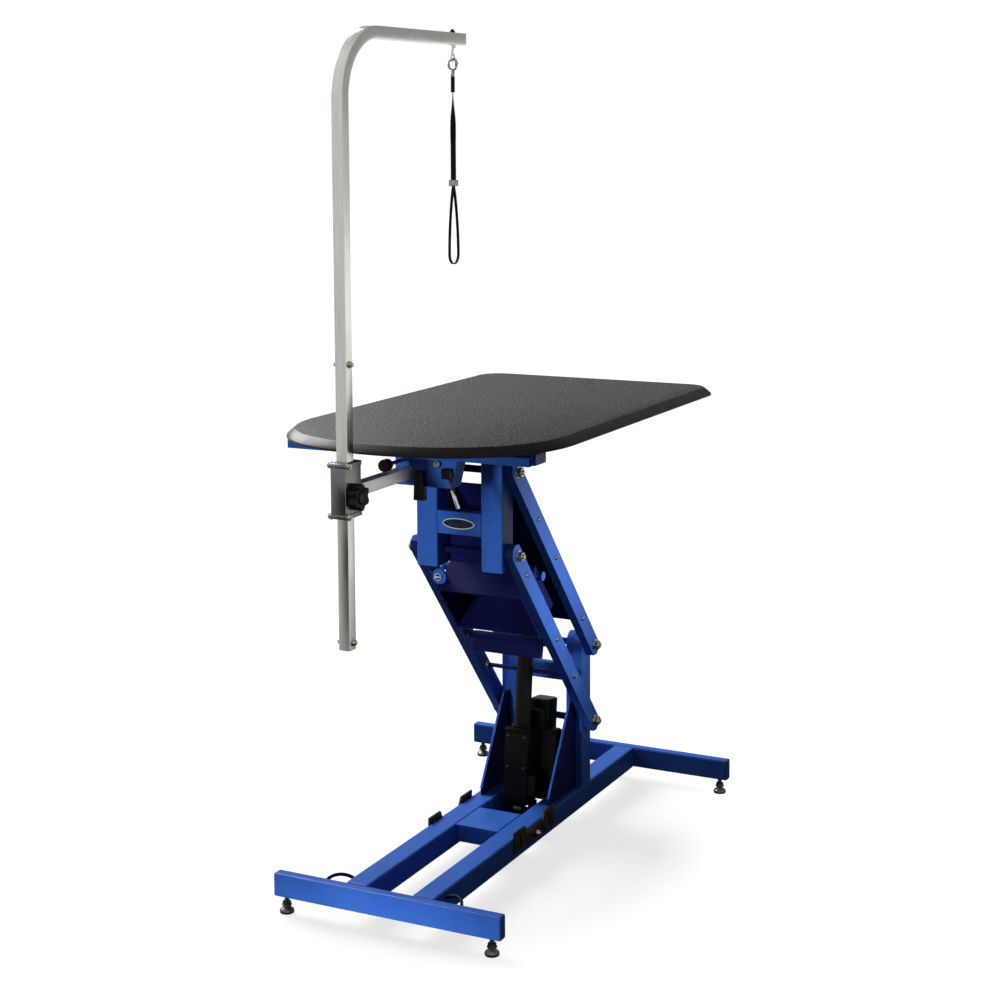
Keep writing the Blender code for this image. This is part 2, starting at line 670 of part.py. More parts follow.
def arm(name, sign, pivot_z, holes, stuff):
    """One lift arm: a bar with cut corners, its origin on the mast pivot."""
    half = ARM_DEPTH / 2
    end = ARM_END
    outline = [
        (end, -half * 0.35), (end, half * 0.35), (end - 0.012, half), (-ARM_LENGTH - end + 0.012, half),
        (-ARM_LENGTH - end, half * 0.35), (-ARM_LENGTH - end, -half * 0.35), (-ARM_LENGTH - end + 0.012, -half),
        (end - 0.012, -half),
    ]
    turned = []
    cosine = math.cos(-ARM_ANGLE)
    sine = math.sin(-ARM_ANGLE)
    for a, b in outline:
        turned.append((a * cosine - b * sine, a * sine + b * cosine))
    made = plate(name, turned, ARM_WIDTH, (sign * ARM_X, MAST_PIVOT_Y, pivot_z), "X", stuff)
    for k, (share, radius) in enumerate(holes):
        y, z = on_arm(pivot_z, share)
        cut(made, rod(
            "hole_%s_%d" % (name, k), radius + TURN_GAP, 0.06, (sign * ARM_X, y, z), "X", ZINC, CUTTERS
        ))
    return made


def slab_on_arms(name, pivot_z, shares, lifts, half_width, stuff, home=PARTS):
    """A cross piece between two arms, square to them, from one share and lift to another."""
    y, z = on_arm(pivot_z, (shares[0] + shares[1]) / 2, (lifts[0] + lifts[1]) / 2)
    along = (shares[1] - shares[0]) * ARM_LENGTH
    made = box(name, (2 * half_width, along, lifts[1] - lifts[0]), (0, y, z), stuff, 0.0, home)
    made.rotation_euler = (-ARM_ANGLE, 0, 0)
    return made


INSIDE_ARMS = ARM_INNER_X - GAP
PLATE_SHARE = LINK_PLATE / ARM_LENGTH
LOWER_HOLES = ((0.0, SHAFT_RADIUS), (ROD_PIVOT_SHARE, ROD_SHAFT_RADIUS), (1.0, SHAFT_RADIUS))
UPPER_HOLES = ((0.0, SHAFT_RADIUS), (1.0, SHAFT_RADIUS))
lower_nodes = [
    arm("lower_arm_left", -1, LOWER_PIVOT_Z, LOWER_HOLES, BLUE),
    arm("lower_arm_right", 1, LOWER_PIVOT_Z, LOWER_HOLES, BLUE),
]
upper_nodes = [
    arm("upper_arm_left", -1, UPPER_PIVOT_Z, UPPER_HOLES, BLUE),
    arm("upper_arm_right", 1, UPPER_PIVOT_Z, UPPER_HOLES, BLUE),
    slab_on_arms(
        "upper_plate", UPPER_PIVOT_Z, (UPPER_PLATE_LOW_SHARE, UPPER_PLATE_HIGH_SHARE),
        (-LINK_PLATE / 2, LINK_PLATE / 2), INSIDE_ARMS, NAVY,
    ),
]

# leaning cross plate between the lower arms, held by a round boss at each end
channel_y, channel_z = on_arm(LOWER_PIVOT_Z, CHANNEL_SHARE, -CHANNEL_DROP)
channel = box(
    "lower_channel", (2 * (INSIDE_ARMS - CHANNEL_END_GAP), CHANNEL_DEPTH, CHANNEL_HEIGHT),
    (0, channel_y, channel_z), NAVY, 0.002,
)
channel.rotation_euler = (-CHANNEL_LEAN, 0, 0)
boss_y, boss_z = on_arm(LOWER_PIVOT_Z, CHANNEL_BOSS_SHARE, -CHANNEL_BOSS_DROP)
boss = rod("channel_boss", CHANNEL_BOSS_RADIUS, 2 * INSIDE_ARMS, (0, boss_y, boss_z), "X", NAVY, CUTTERS)
fuse(channel, boss)
lower_nodes.append(channel)

# folded tray between the lower arms, open at its lower side, with a round tube through it
tray_shares = (TRAY_LOW_SHARE - PLATE_SHARE / 2, TRAY_HIGH_SHARE + PLATE_SHARE / 2)
tray = slab_on_arms(
    "lower_plate", LOWER_PIVOT_Z, tray_shares, (-TRAY_BELOW, TRAY_ABOVE), INSIDE_ARMS, NAVY
)
hollow = slab_on_arms(
    "hollow_tray", LOWER_PIVOT_Z, (tray_shares[0] + PLATE_SHARE, tray_shares[1] - PLATE_SHARE),
    (-2 * TRAY_BELOW, TRAY_ABOVE - LINK_PLATE), INSIDE_ARMS - LINK_PLATE, NAVY, CUTTERS,
)
cut(tray, hollow)
STOP_TUBE_SHARE = TRAY_HIGH_SHARE - STOP_TUBE_BEHIND / ARM_LENGTH
stop_y, stop_z = on_arm(LOWER_PIVOT_Z, STOP_TUBE_SHARE, STOP_TUBE_LIFT)
tube_hole = rod(
    "hole_stop_tube", STOP_TUBE_RADIUS + GAP, 2 * ARM_OUTER_X, (0, stop_y, stop_z), "X", NAVY, CUTTERS
)
cut(tray, tube_hole)
stop_tube = rod("stop_tube", STOP_TUBE_RADIUS, 2 * ARM_OUTER_X, (0, stop_y, stop_z), "X", BLUE)
lower_nodes += [tray, stop_tube]


SHAFT_HALF = ARM_OUTER_X + GAP + SHAFT_HEAD_HEIGHT / 2


def shaft(name, y, z, radius, head_radius, stuff=ZINC):
    """A pivot shaft right across, with a hexagon head at each end."""
    made = rod(name, radius, 2 * SHAFT_HALF, (0, y, z), "X", stuff)
    for sign in (-1, 1):
        head = rod(
            "head_%s_%s" % (name, side_name(sign)), head_radius, SHAFT_HEAD_HEIGHT,
            (sign * (ARM_OUTER_X + GAP + SHAFT_HEAD_HEIGHT / 2), y, z), "X", stuff, CUTTERS, 6,
        )
        fuse(made, head)
    return made


mast_shaft_lower = shaft("mast_shaft_lower", MAST_PIVOT_Y, LOWER_PIVOT_Z, SHAFT_RADIUS, SHAFT_HEAD_RADIUS)
mast_shaft_upper = shaft("mast_shaft_upper", MAST_PIVOT_Y, UPPER_PIVOT_Z, SHAFT_RADIUS, SHAFT_HEAD_RADIUS)
head_shaft_lower = shaft("head_shaft_lower", HEAD_PIVOT_Y, HEAD_LOWER_Z, SHAFT_RADIUS, SHAFT_HEAD_RADIUS)
head_shaft_upper = shaft("head_shaft_upper", HEAD_PIVOT_Y, HEAD_UPPER_Z, SHAFT_RADIUS, SHAFT_HEAD_RADIUS)
rod_shaft = shaft("rod_shaft", ROD_PIVOT_Y, ROD_PIVOT_Z, ROD_SHAFT_RADIUS, ROD_HEAD_RADIUS)
base_nodes += [mast_shaft_lower, mast_shaft_upper]
lower_nodes.append(rod_shaft)

# head: two legs, a bar with a plain oval plate, and the frame under the tabletop
head_nodes = [head_shaft_lower, head_shaft_upper]
for sign in (-1, 1):
    leg = box(
        "head_leg_" + side_name(sign), (LEG_WIDTH, LEG_DEPTH, LEG_TOP_Z - LEG_BOTTOM_Z),
        (sign * (LEG_INNER_X + LEG_WIDTH / 2), LEG_FRONT_Y + LEG_DEPTH / 2, (LEG_TOP_Z + LEG_BOTTOM_Z) / 2),
        BLUE, 0.003,
    )
    for height in (HEAD_LOWER_Z, HEAD_UPPER_Z):
        hole = rod(
            "hole_leg_%s_%d" % (side_name(sign), round(height * 1000)), SHAFT_RADIUS + GAP, 0.09,
            (sign * (LEG_INNER_X + LEG_WIDTH / 2), HEAD_PIVOT_Y, height), "X", ZINC, CUTTERS,
        )
        cut(leg, hole)
    head_nodes.append(leg)
head_bar = box(
    "head_bar", (2 * (LEG_INNER_X - GAP), HEAD_BAR_DEPTH, HEAD_BAR_HEIGHT),
    (0, LEG_FRONT_Y + HEAD_BAR_DEPTH / 2, HEAD_BAR_Z), BLUE, 0.002,
)
oval = [
    (BADGE_WIDTH / 2 * math.cos(math.radians(15 * k)), BADGE_HEIGHT / 2 * math.sin(math.radians(15 * k)))
    for k in range(24)
]
badge = plate(
    "oval_plate", oval, BADGE_THICKNESS, (0, LEG_FRONT_Y - GAP - BADGE_THICKNESS / 2, HEAD_BAR_Z), "Y", SILVER
)
head_nodes += [head_bar, badge]
for name, front, half_width in (
    ("frame_cross_front", FRAME_FRONT_Y, FRAME_HALF_WIDTH),
    ("frame_cross_rear", FRAME_REAR_Y, FRAME_REAR_HALF_WIDTH),
):
    tube = box(
        name, (2 * half_width, FRAME_TUBE_WIDTH, FRAME_TUBE),
        (0, front + FRAME_TUBE_WIDTH / 2, FRAME_BOTTOM_Z + FRAME_TUBE / 2), BLUE, 0.002,
    )
    head_nodes.append(tube)
LONG_START = FRAME_FRONT_Y + FRAME_TUBE_WIDTH + GAP
LONG_END = FRAME_REAR_Y - GAP
for sign in (-1, 1):
    tube = box(
        "frame_long_" + side_name(sign), (FRAME_TUBE_WIDTH, LONG_END - LONG_START, FRAME_TUBE),
        (sign * (LEG_INNER_X + LEG_WIDTH / 2), (LONG_START + LONG_END) / 2, FRAME_BOTTOM_Z + FRAME_TUBE / 2),
        BLUE, 0.002,
    )
    head_nodes.append(tube)


def table_outline(inset):
    """Bowed front a little fuller than an ellipse, straight sides and round corners at the rear."""
    wide = TABLE_HALF_WIDTH - inset
    bow = TABLE_BOW_DEPTH - inset
    middle = TABLE_FRONT_Y + TABLE_BOW_DEPTH
    rear = TABLE_REAR_Y - inset
    corner = TABLE_CORNER - inset
    points = []
    for k in range(37):
        across = math.cos(math.radians(5 * k))
        ahead = math.sin(math.radians(5 * k))
        x = -math.copysign(abs(across) ** (2 / TABLE_BOW_POWER), across) * wide
        points.append((x, middle - abs(ahead) ** (2 / TABLE_BOW_POWER) * bow))
    points += arc(wide - corner, rear - corner, corner, 0, 90, 8)
    points += arc(-wide + corner, rear - corner, corner, 90, 180, 8)
    return points


board = plate(
    "tabletop_board", table_outline(BOARD_INSET), BOARD_THICKNESS,
    (0, 0, BOARD_BOTTOM_Z + BOARD_THICKNESS / 2), "Z", RUBBER,
)
round_edges(board, 0.002, 2)
# the mat's edge slopes out to a thin lip: a plate twice as thick is sloped on both sides and halved
mat_bottom = TABLE_TOP_Z - MAT_THICKNESS
mat = plate("mat", table_outline(0.0), 2 * MAT_THICKNESS, (0, 0, mat_bottom), "Z", RUBBER)
round_edges(mat, MAT_SLOPE, 1)
lower_half = box(
    "mat_lower_half", (3 * TABLE_HALF_WIDTH, 2 * TABLE_LENGTH, 2 * MAT_THICKNESS),
    (0, TABLE_FRONT_Y + TABLE_LENGTH / 2, mat_bottom - MAT_THICKNESS), RUBBER, 0.0, CUTTERS,
)
cut(mat, lower_half)
head_nodes += [board, mat]

# bracket under the front of the frame that holds the boom of the post
outline = [
    (BRACKET_LEFT_X, FRAME_BOTTOM_Z - GAP), (BRACKET_LEFT_X, BRACKET_BOTTOM_Z),
    (BRACKET_RIGHT_X, BRACKET_BOTTOM_Z), (BRACKET_TOP_RIGHT_X, FRAME_BOTTOM_Z - GAP),
]
bracket = plate(
    "boom_bracket", outline, BRACKET_DEPTH, (0, BRACKET_FRONT_Y + BRACKET_DEPTH / 2, 0), "Y", BLUE
)
boom_hole = box(
    "hole_boom", (POST_SIZE + 2 * SLIDE_GAP, 4 * BRACKET_DEPTH, POST_SIZE + 2 * SLIDE_GAP),
    (POST_X, BRACKET_FRONT_Y + BRACKET_DEPTH / 2, BOOM_Z), ZINC, 0.0, CUTTERS,
)
cut(bracket, boom_hole)
for name, radius, x, z in (
    ("hole_screw", SCREW_RADIUS, POST_X, SCREW_Z), ("hole_lever", LEVER_STUB_RADIUS, LEVER_X, LEVER_Z),
    ("hole_grip", GRIP_STUB_RADIUS, GRIP_X, GRIP_Z),
):
    hole = rod(
        name, radius + TURN_GAP, 2 * (STUB_DEPTH + STUB_END_PLAY), (x, BRACKET_FRONT_Y, z), "Y", ZINC, CUTTERS
    )
    cut(bracket, hole)
bracket_bolt = rod(
    "bracket_bolt", BRACKET_BOLT_RADIUS, 2 * BRACKET_BOLT_HEIGHT,
    (BRACKET_BOLT_X, BRACKET_FRONT_Y, BRACKET_BOLT_Z), "Y", BLUE, CUTTERS, 6,
)
fuse(bracket, bracket_bolt)
head_nodes.append(bracket)

# boom screw: a shaft in the bracket with a black knob on its front end
boom_screw = rod(
    "boom_screw", SCREW_RADIUS, SCREW_AHEAD + STUB_DEPTH,
    (POST_X, BRACKET_FRONT_Y + (STUB_DEPTH - SCREW_AHEAD) / 2, SCREW_Z), "Y", ZINC,
)
boom_screw_knob = rod(
    "boom_screw_knob", SCREW_KNOB_RADIUS, SCREW_KNOB_LENGTH,
    (POST_X, BRACKET_FRONT_Y - SCREW_AHEAD + 0.004, SCREW_Z), "Y", BLACK, CUTTERS,
)
round_edges(boom_screw_knob, 0.003)
fuse(boom_screw, boom_screw_knob)

# clamping lever with a hub on the front of the bracket
lever_y = BRACKET_FRONT_Y - LEVER_STANDOFF - LEVER_HUB_LENGTH / 2
clamp_lever = rod("clamp_lever", LEVER_HUB_RADIUS, LEVER_HUB_LENGTH, (LEVER_X, lever_y, LEVER_Z), "Y", BLACK)
lever_stub = rod(
    "lever_stub", LEVER_STUB_RADIUS, BRACKET_FRONT_Y + STUB_DEPTH - lever_y,
    (LEVER_X, (BRACKET_FRONT_Y + STUB_DEPTH + lever_y) / 2, LEVER_Z), "Y", BLACK, CUTTERS,
)
fuse(clamp_lever, lever_stub)
lever_reach = LEVER_LENGTH / 2 - 0.003
lever_bar = rod(
    "lever_bar", LEVER_ROD_RADIUS, LEVER_LENGTH,
    (LEVER_X + lever_reach * math.sin(LEVER_SLANT), lever_y, LEVER_Z - lever_reach * math.cos(LEVER_SLANT)),
    "Z", BLACK, CUTTERS,
)
lever_bar.rotation_euler = (0, -LEVER_SLANT, 0)
fuse(clamp_lever, lever_bar)

# black hanging grip at the left of the bracket
grip_y = BRACKET_FRONT_Y - GRIP_STANDOFF - GRIP_DEPTH / 2
grip = box(
    "grip_lever", (GRIP_WIDTH, GRIP_DEPTH, GRIP_LENGTH),
    (GRIP_X, grip_y, GRIP_Z + GRIP_ABOVE - GRIP_LENGTH / 2), BLACK, 0.003,
)
grip_stub = rod(
    "grip_stub", GRIP_STUB_RADIUS, BRACKET_FRONT_Y + STUB_DEPTH - grip_y,
    (GRIP_X, (BRACKET_FRONT_Y + STUB_DEPTH + grip_y) / 2, GRIP_Z), "Y", BLACK, CUTTERS,
)
fuse(grip, grip_stub)

# boom and the sleeve that holds the post
SLEEVE_REAR_Y = SLEEVE_FRONT_Y + SLEEVE_DEPTH
boom = box(
    "boom", (POST_SIZE, BOOM_REAR_Y - SLEEVE_REAR_Y - GAP, POST_SIZE),
    (POST_X, (BOOM_REAR_Y + SLEEVE_REAR_Y + GAP) / 2, BOOM_Z), STEEL, 0.002,
)
sleeve = box(
    "post_sleeve", (SLEEVE_WIDTH, SLEEVE_DEPTH, SLEEVE_HEIGHT),
    (POST_X, SLEEVE_FRONT_Y + SLEEVE_DEPTH / 2, SLEEVE_BOTTOM_Z + SLEEVE_HEIGHT / 2), STEEL, 0.0025,
)
post_hole = box(
    "hole_post", (POST_SIZE + 2 * SLIDE_GAP, POST_SIZE + 2 * SLIDE_GAP, 3 * SLEEVE_HEIGHT),
    (POST_X, POST_Y, SLEEVE_BOTTOM_Z + SLEEVE_HEIGHT / 2), ZINC, 0.0, CUTTERS,
)
cut(sleeve, post_hole)
knob_hole = rod(
    "hole_knob", STUD_RADIUS + TURN_GAP, SLEEVE_WIDTH, (POST_X + SLEEVE_WIDTH / 2, POST_Y, KNOB_Z), "X",
    ZINC, CUTTERS,
)
cut(sleeve, knob_hole)
for height in (SLEEVE_BOTTOM_Z + SLEEVE_BOLT_END, SLEEVE_BOTTOM_Z + SLEEVE_HEIGHT - SLEEVE_BOLT_END):
    sleeve_bolt = rod(
        "sleeve_bolt_%d" % round(height * 1000), SLEEVE_BOLT_RADIUS, SLEEVE_WIDTH + 2 * SLEEVE_BOLT_PROUD,
        (POST_X, SLEEVE_FRONT_Y + SLEEVE_BOLT_INSET, height), "X", STEEL, CUTTERS, 12,
    )
    fuse(sleeve, sleeve_bolt)

# square post with one bend, swept along its path
section = bpy.data.curves.new("post_section", "CURVE")
section.dimensions = "2D"
side = section.splines.new("POLY")
edge = POST_SIZE / 2
nip = 0.002
corners = [
    (edge, -edge + nip), (edge, edge - nip), (edge - nip, edge), (-edge + nip, edge), (-edge, edge - nip),
    (-edge, -edge + nip), (-edge + nip, -edge), (edge - nip, -edge),
]
side.points.add(len(corners) - 1)
for point, (a, b) in zip(side.points, corners):
    point.co = (a, b, 0.0, 1.0)
side.use_cyclic_u = True
section_obj = bpy.data.objects.new("post_section", section)
bpy.context.scene.collection.objects.link(section_obj)
take(section_obj, "post_section", STEEL, CUTTERS)

path = bpy.data.curves.new("post", "CURVE")
path.dimensions = "3D"
path.bevel_mode = "OBJECT"
path.bevel_object = section_obj
path.use_fill_caps = True
path.twist_mode = "MINIMUM"
line = path.splines.new("POLY")
bend_y = POST_Y + POST_BEND
bend_z = POST_ARM_Z - POST_BEND
route = [(POST_Y, POST_BOTTOM_Z)] + arc(bend_y, bend_z, POST_BEND, 180, 90, 12) + [(POST_ARM_END_Y, POST_ARM_Z)]
line.points.add(len(route) - 1)
for point, (y, z) in zip(line.points, route):
    point.co = (POST_X, y, z, 1.0)
post = bpy.data.objects.new("post", path)
bpy.context.scene.collection.objects.link(post)
take(post, "post", STEEL)
to_mesh(post)
for name, height in (("post_pin_low", POST_PIN_LOW_Z), ("post_pin_high", POST_PIN_HIGH_Z)):
    pin_length = POST_SIZE + 2 * POST_PIN_PROUD
    fuse(post, rod(name, POST_PIN_RADIUS, pin_length, (POST_X, POST_Y, height), "X", STEEL, CUTTERS, 12))
eye_hole = rod(
    "hole_eye_bolt", EYE_SHANK_RADIUS + GAP, 3 * POST_SIZE, (POST_X, NOOSE_Y, POST_ARM_Z), "Z", ZINC, CUTTERS
)
cut(post, eye_hole)

# lobed clamping knob on the right face of the sleeve
lobes = []
for k in range(48):
    turn = math.radians(7.5 * k)
    reach = KNOB_RADIUS * (0.90 + 0.10 * math.cos(6 * turn))
    lobes.append((reach * math.cos(turn), reach * math.sin(turn)))
knob_x = POST_X + SLEEVE_WIDTH / 2 + KNOB_STANDOFF + KNOB_THICKNESS / 2
stud_x = POST_X + POST_SIZE / 2 + 2 * SLIDE_GAP
post_knob = plate("post_knob", lobes, KNOB_THICKNESS, (knob_x, POST_Y, KNOB_Z), "X", BLACK)
knob_stud = rod(
    "knob_stud", STUD_RADIUS, knob_x - stud_x, ((knob_x + stud_x) / 2, POST_Y, KNOB_Z), "X", BLACK, CUTTERS
)
fuse(post_knob, knob_stud)

# noose: eye bolt, snap hook, swivel, strap, slider and loop
eye_low = EYE_Z + EYE_RING + EYE_WIRE / 2
eye_high = POST_ARM_Z + POST_SIZE / 2 + EYE_THREAD_ABOVE
eye_bolt = rod(
    "eye_bolt", EYE_SHANK_RADIUS, eye_high - eye_low, (POST_X, NOOSE_Y, (eye_low + eye_high) / 2), "Z", ZINC
)
fuse(eye_bolt, ring("eye_ring", EYE_RING, EYE_WIRE, (POST_X, NOOSE_Y, EYE_Z), "X", ZINC))
nut_z = POST_ARM_Z + POST_SIZE / 2 + GAP + EYE_NUT_HEIGHT / 2
fuse(eye_bolt, rod("eye_nut", EYE_NUT_RADIUS, EYE_NUT_HEIGHT, (POST_X, NOOSE_Y, nut_z), "Z", ZINC, CUTTERS, 6))
shank_z = HOOK_Z - HOOK_RING - HOOK_WIRE / 2 - HOOK_SHANK_LENGTH / 2
snap_hook = rod("snap_hook", HOOK_SHANK_RADIUS, HOOK_SHANK_LENGTH, (POST_X, NOOSE_Y, shank_z), "Z", ZINC)
fuse(snap_hook, ring("hook_ring", HOOK_RING, HOOK_WIRE, (POST_X, NOOSE_Y, HOOK_Z), "Y", ZINC))
swivel_profile = [
    (0.0, SWIVEL_TOP_Z), (0.0030, SWIVEL_TOP_Z), (SWIVEL_RADIUS, SWIVEL_TOP_Z - 0.003),
    (SWIVEL_RADIUS, SWIVEL_TOP_Z - 0.018), (0.0024, SWIVEL_TOP_Z - 0.022), (0.0020, STRAP_TOP_Z + 0.006),
    (0.0035, STRAP_TOP_Z + GAP), (0.0, STRAP_TOP_Z + GAP),
]
swivel = lathe("swivel", swivel_profile, (POST_X, NOOSE_Y, 0.0), BLACK, 16)
strap = box(
    "noose_strap", (TAPE_WIDTH, TAPE_THICKNESS, STRAP_LENGTH),
    (POST_X, NOOSE_Y, STRAP_TOP_Z - STRAP_LENGTH / 2), WEB,
)
slider_width = TAPE_WIDTH + 2 * (TAPE_PLAY + SLIDER_WALL)
slot_depth = 2 * (TAPE_THICKNESS + TAPE_PLAY + LEG_GAP)
slider = box(
    "noose_slider", (slider_width, slot_depth + SLIDER_WALL, SLIDER_HEIGHT), (POST_X, NOOSE_Y, SLIDER_Z),
    ZINC, 0.001,
)
slider_slot = box(
    "hole_slider", (TAPE_WIDTH + 2 * TAPE_PLAY, slot_depth, 4 * SLIDER_HEIGHT), (POST_X, NOOSE_Y, SLIDER_Z),
    ZINC, 0.0, CUTTERS,
)
cut(slider, slider_slot)

leg_y = TAPE_THICKNESS / 2 + LEG_GAP
loop_low = LOOP_BOTTOM_Z + LOOP_HALF_OPENING
drop = SLIDER_Z - SLIDER_HEIGHT / 2 - 0.002
spine = [(-leg_y, SLIDER_Z - TAPE_END_GAP), (-leg_y, drop)]
for k in range(1, 13):
    share = k / 12
    ease = share * share * (3 - 2 * share)
    spine.append((-leg_y - (LOOP_HALF_OPENING - leg_y) * ease, drop + (loop_low - drop) * share))
spine += arc(0.0, loop_low, LOOP_HALF_OPENING, 180, 270, 8)[1:]
spine += [(-y, z) for y, z in reversed(spine[:-1])]


def ribbon(points, thickness):
    """Outline of a band that follows a line."""
    left = []
    right = []
    for k, (a, b) in enumerate(points):
        before = points[max(k - 1, 0)]
        after = points[min(k + 1, len(points) - 1)]
        dx = after[0] - before[0]
        dy = after[1] - before[1]
        size = math.hypot(dx, dy)
        left.append((a - dy / size * thickness / 2, b + dx / size * thickness / 2))
        right.append((a + dy / size * thickness / 2, b - dx / size * thickness / 2))
    return left + right[::-1]


loop = plate("noose_loop", ribbon(spine, TAPE_THICKNESS), TAPE_WIDTH, (POST_X, NOOSE_Y, 0), "X", WEB)

# actuator: gearbox and housing as one body, motor beside it, rod up to the lower arms
LEAN = math.atan2(ROD_PIVOT_Y - ACTUATOR_FOOT_Y, ROD_PIVOT_Z - ACTUATOR_FOOT_Z)
ROD_SPAN = math.hypot(ROD_PIVOT_Y - ACTUATOR_FOOT_Y, ROD_PIVOT_Z - ACTUATOR_FOOT_Z)
TILT = Matrix.Translation((0, ACTUATOR_FOOT_Y, ACTUATOR_FOOT_Z)) @ Matrix.Rotation(-LEAN, 4, "X")


def lean(obj):
    """Place an object made about the foot pivot, upright, into the tilted actuator."""
    obj.matrix_world = TILT @ Matrix.Translation(obj.location)
    return obj


housing_height = HOUSING_LENGTH - HOUSING_START
housing = box(
    "actuator_housing", (HOUSING_SIZE, HOUSING_SIZE, housing_height),
    (0, 0, HOUSING_START + housing_height / 2), BLACK,
)
lean(housing)
lug = box(
    "actuator_lug", (LUG_WIDTH, LUG_DEPTH, HOUSING_START + LUG_OVERLAP + LUG_BELOW_PIN),
    (0, 0, (HOUSING_START + LUG_OVERLAP - LUG_BELOW_PIN) / 2), BLACK, 0.0, CUTTERS,
)
fuse(housing, lean(lug))
gearbox = box(
    "actuator_gearbox", (GEARBOX_WIDTH, GEARBOX_DEPTH, GEARBOX_HEIGHT),
    (GEARBOX_X, GEARBOX_Y, GEARBOX_TOP - GEARBOX_HEIGHT / 2), BLACK, 0.0, CUTTERS,
)
fuse(housing, lean(gearbox))
collar = box(
    "actuator_collar", (HOUSING_SIZE + 2 * COLLAR_STEP, HOUSING_SIZE + 2 * COLLAR_STEP, COLLAR_HEIGHT),
    (0, 0, HOUSING_LENGTH - COLLAR_HEIGHT / 2), BLACK, 0.0, CUTTERS,
)
fuse(housing, lean(collar))
lug_hole = rod("hole_lug", FOOT_PIN_RADIUS + TURN_GAP, 2 * HOUSING_SIZE, (0, 0, 0), "X", BLACK, CUTTERS)
cut(housing, lean(lug_hole))
well_height = HOUSING_LENGTH + COLLAR_HEIGHT - ROD_WELL
rod_well = rod(
    "hole_rod", ROD_RADIUS + SLIDE_GAP, well_height, (0, 0, ROD_WELL + well_height / 2), "Z", BLACK, CUTTERS, 32
)
cut(housing, lean(rod_well))
motor = rod(
    "actuator_motor", MOTOR_RADIUS, MOTOR_LENGTH, (MOTOR_X, MOTOR_Y, GEARBOX_TOP + GAP + MOTOR_LENGTH / 2), "Z",
    BLACK, PARTS, 32,
)
round_edges(lean(motor), 0.003)
rod_low = HOUSING_LENGTH - ROD_INSIDE
rod_high = ROD_SPAN + ROD_EYE_END
actuator_rod = rod(
    "actuator_rod", ROD_RADIUS, rod_high - rod_low, (0, 0, (rod_low + rod_high) / 2), "Z", BLACK, PARTS, 32
)
lean(actuator_rod)
rod_eye = rod(
    "hole_rod_eye", ROD_SHAFT_RADIUS + ROD_EYE_PLAY, 4 * ROD_RADIUS, (0, 0, ROD_SPAN), "X", BLACK, CUTTERS
)
cut(actuator_rod, lean(rod_eye))


def axis_empty(name, place, children, parent=None):
    """An empty on a joint axis that carries the pieces of one moving body."""
    empty = bpy.data.objects.new(name, None)
    empty.empty_display_size = 0.03
    PARTS.objects.link(empty)
    empty.location = place
    if parent is not None:
        empty.parent = parent
        empty.matrix_parent_inverse = Matrix.Translation(parent.matrix_world.translation).inverted()
    bpy.context.view_layer.update()
    for child in children:
        child.parent = empty
        child.matrix_parent_inverse = empty.matrix_world.inverted()
    return empty


bpy.context.view_layer.update()
lower_axis = axis_empty("axis_lower_arms", (0, MAST_PIVOT_Y, LOWER_PIVOT_Z), lower_nodes)
axis_empty("axis_upper_arms", (0, MAST_PIVOT_Y, UPPER_PIVOT_Z), upper_nodes)
head_axis = axis_empty("axis_head", (0, HEAD_PIVOT_Y, HEAD_LOWER_Z), head_nodes, lower_axis)
body_axis = axis_empty("axis_actuator", (0, ACTUATOR_FOOT_Y, ACTUATOR_FOOT_Z), [housing, motor])
axis_empty("axis_rod", (0, ROD_PIVOT_Y, ROD_PIVOT_Z), [actuator_rod], body_axis)
boom_axis = axis_empty("axis_boom", (POST_X, BOOM_REAR_Y, BOOM_Z), [boom, sleeve], head_axis)
post_axis = axis_empty("axis_post", (POST_X, POST_Y, POST_BOTTOM_Z), [post, eye_bolt], boom_axis)
noose_axis = axis_empty("axis_noose", (POST_X, NOOSE_Y, EYE_Z), [snap_hook, swivel, strap, loop], post_axis)
axis_empty("axis_slider", (POST_X, NOOSE_Y, SLIDER_Z), [slider], noose_axis)
axis_empty("axis_post_knob", (POST_X, POST_Y, KNOB_Z), [post_knob], boom_axis)
axis_empty("axis_boom_screw", (POST_X, BRACKET_FRONT_Y, SCREW_Z), [boom_screw], head_axis)
axis_empty("axis_clamp_lever", (LEVER_X, BRACKET_FRONT_Y, LEVER_Z), [clamp_lever], head_axis)
axis_empty("axis_grip", (GRIP_X, BRACKET_FRONT_Y, GRIP_Z), [grip], head_axis)
bpy.context.view_layer.update()
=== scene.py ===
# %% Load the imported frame
import json
import math

import bpy
from mathutils import Matrix, Vector


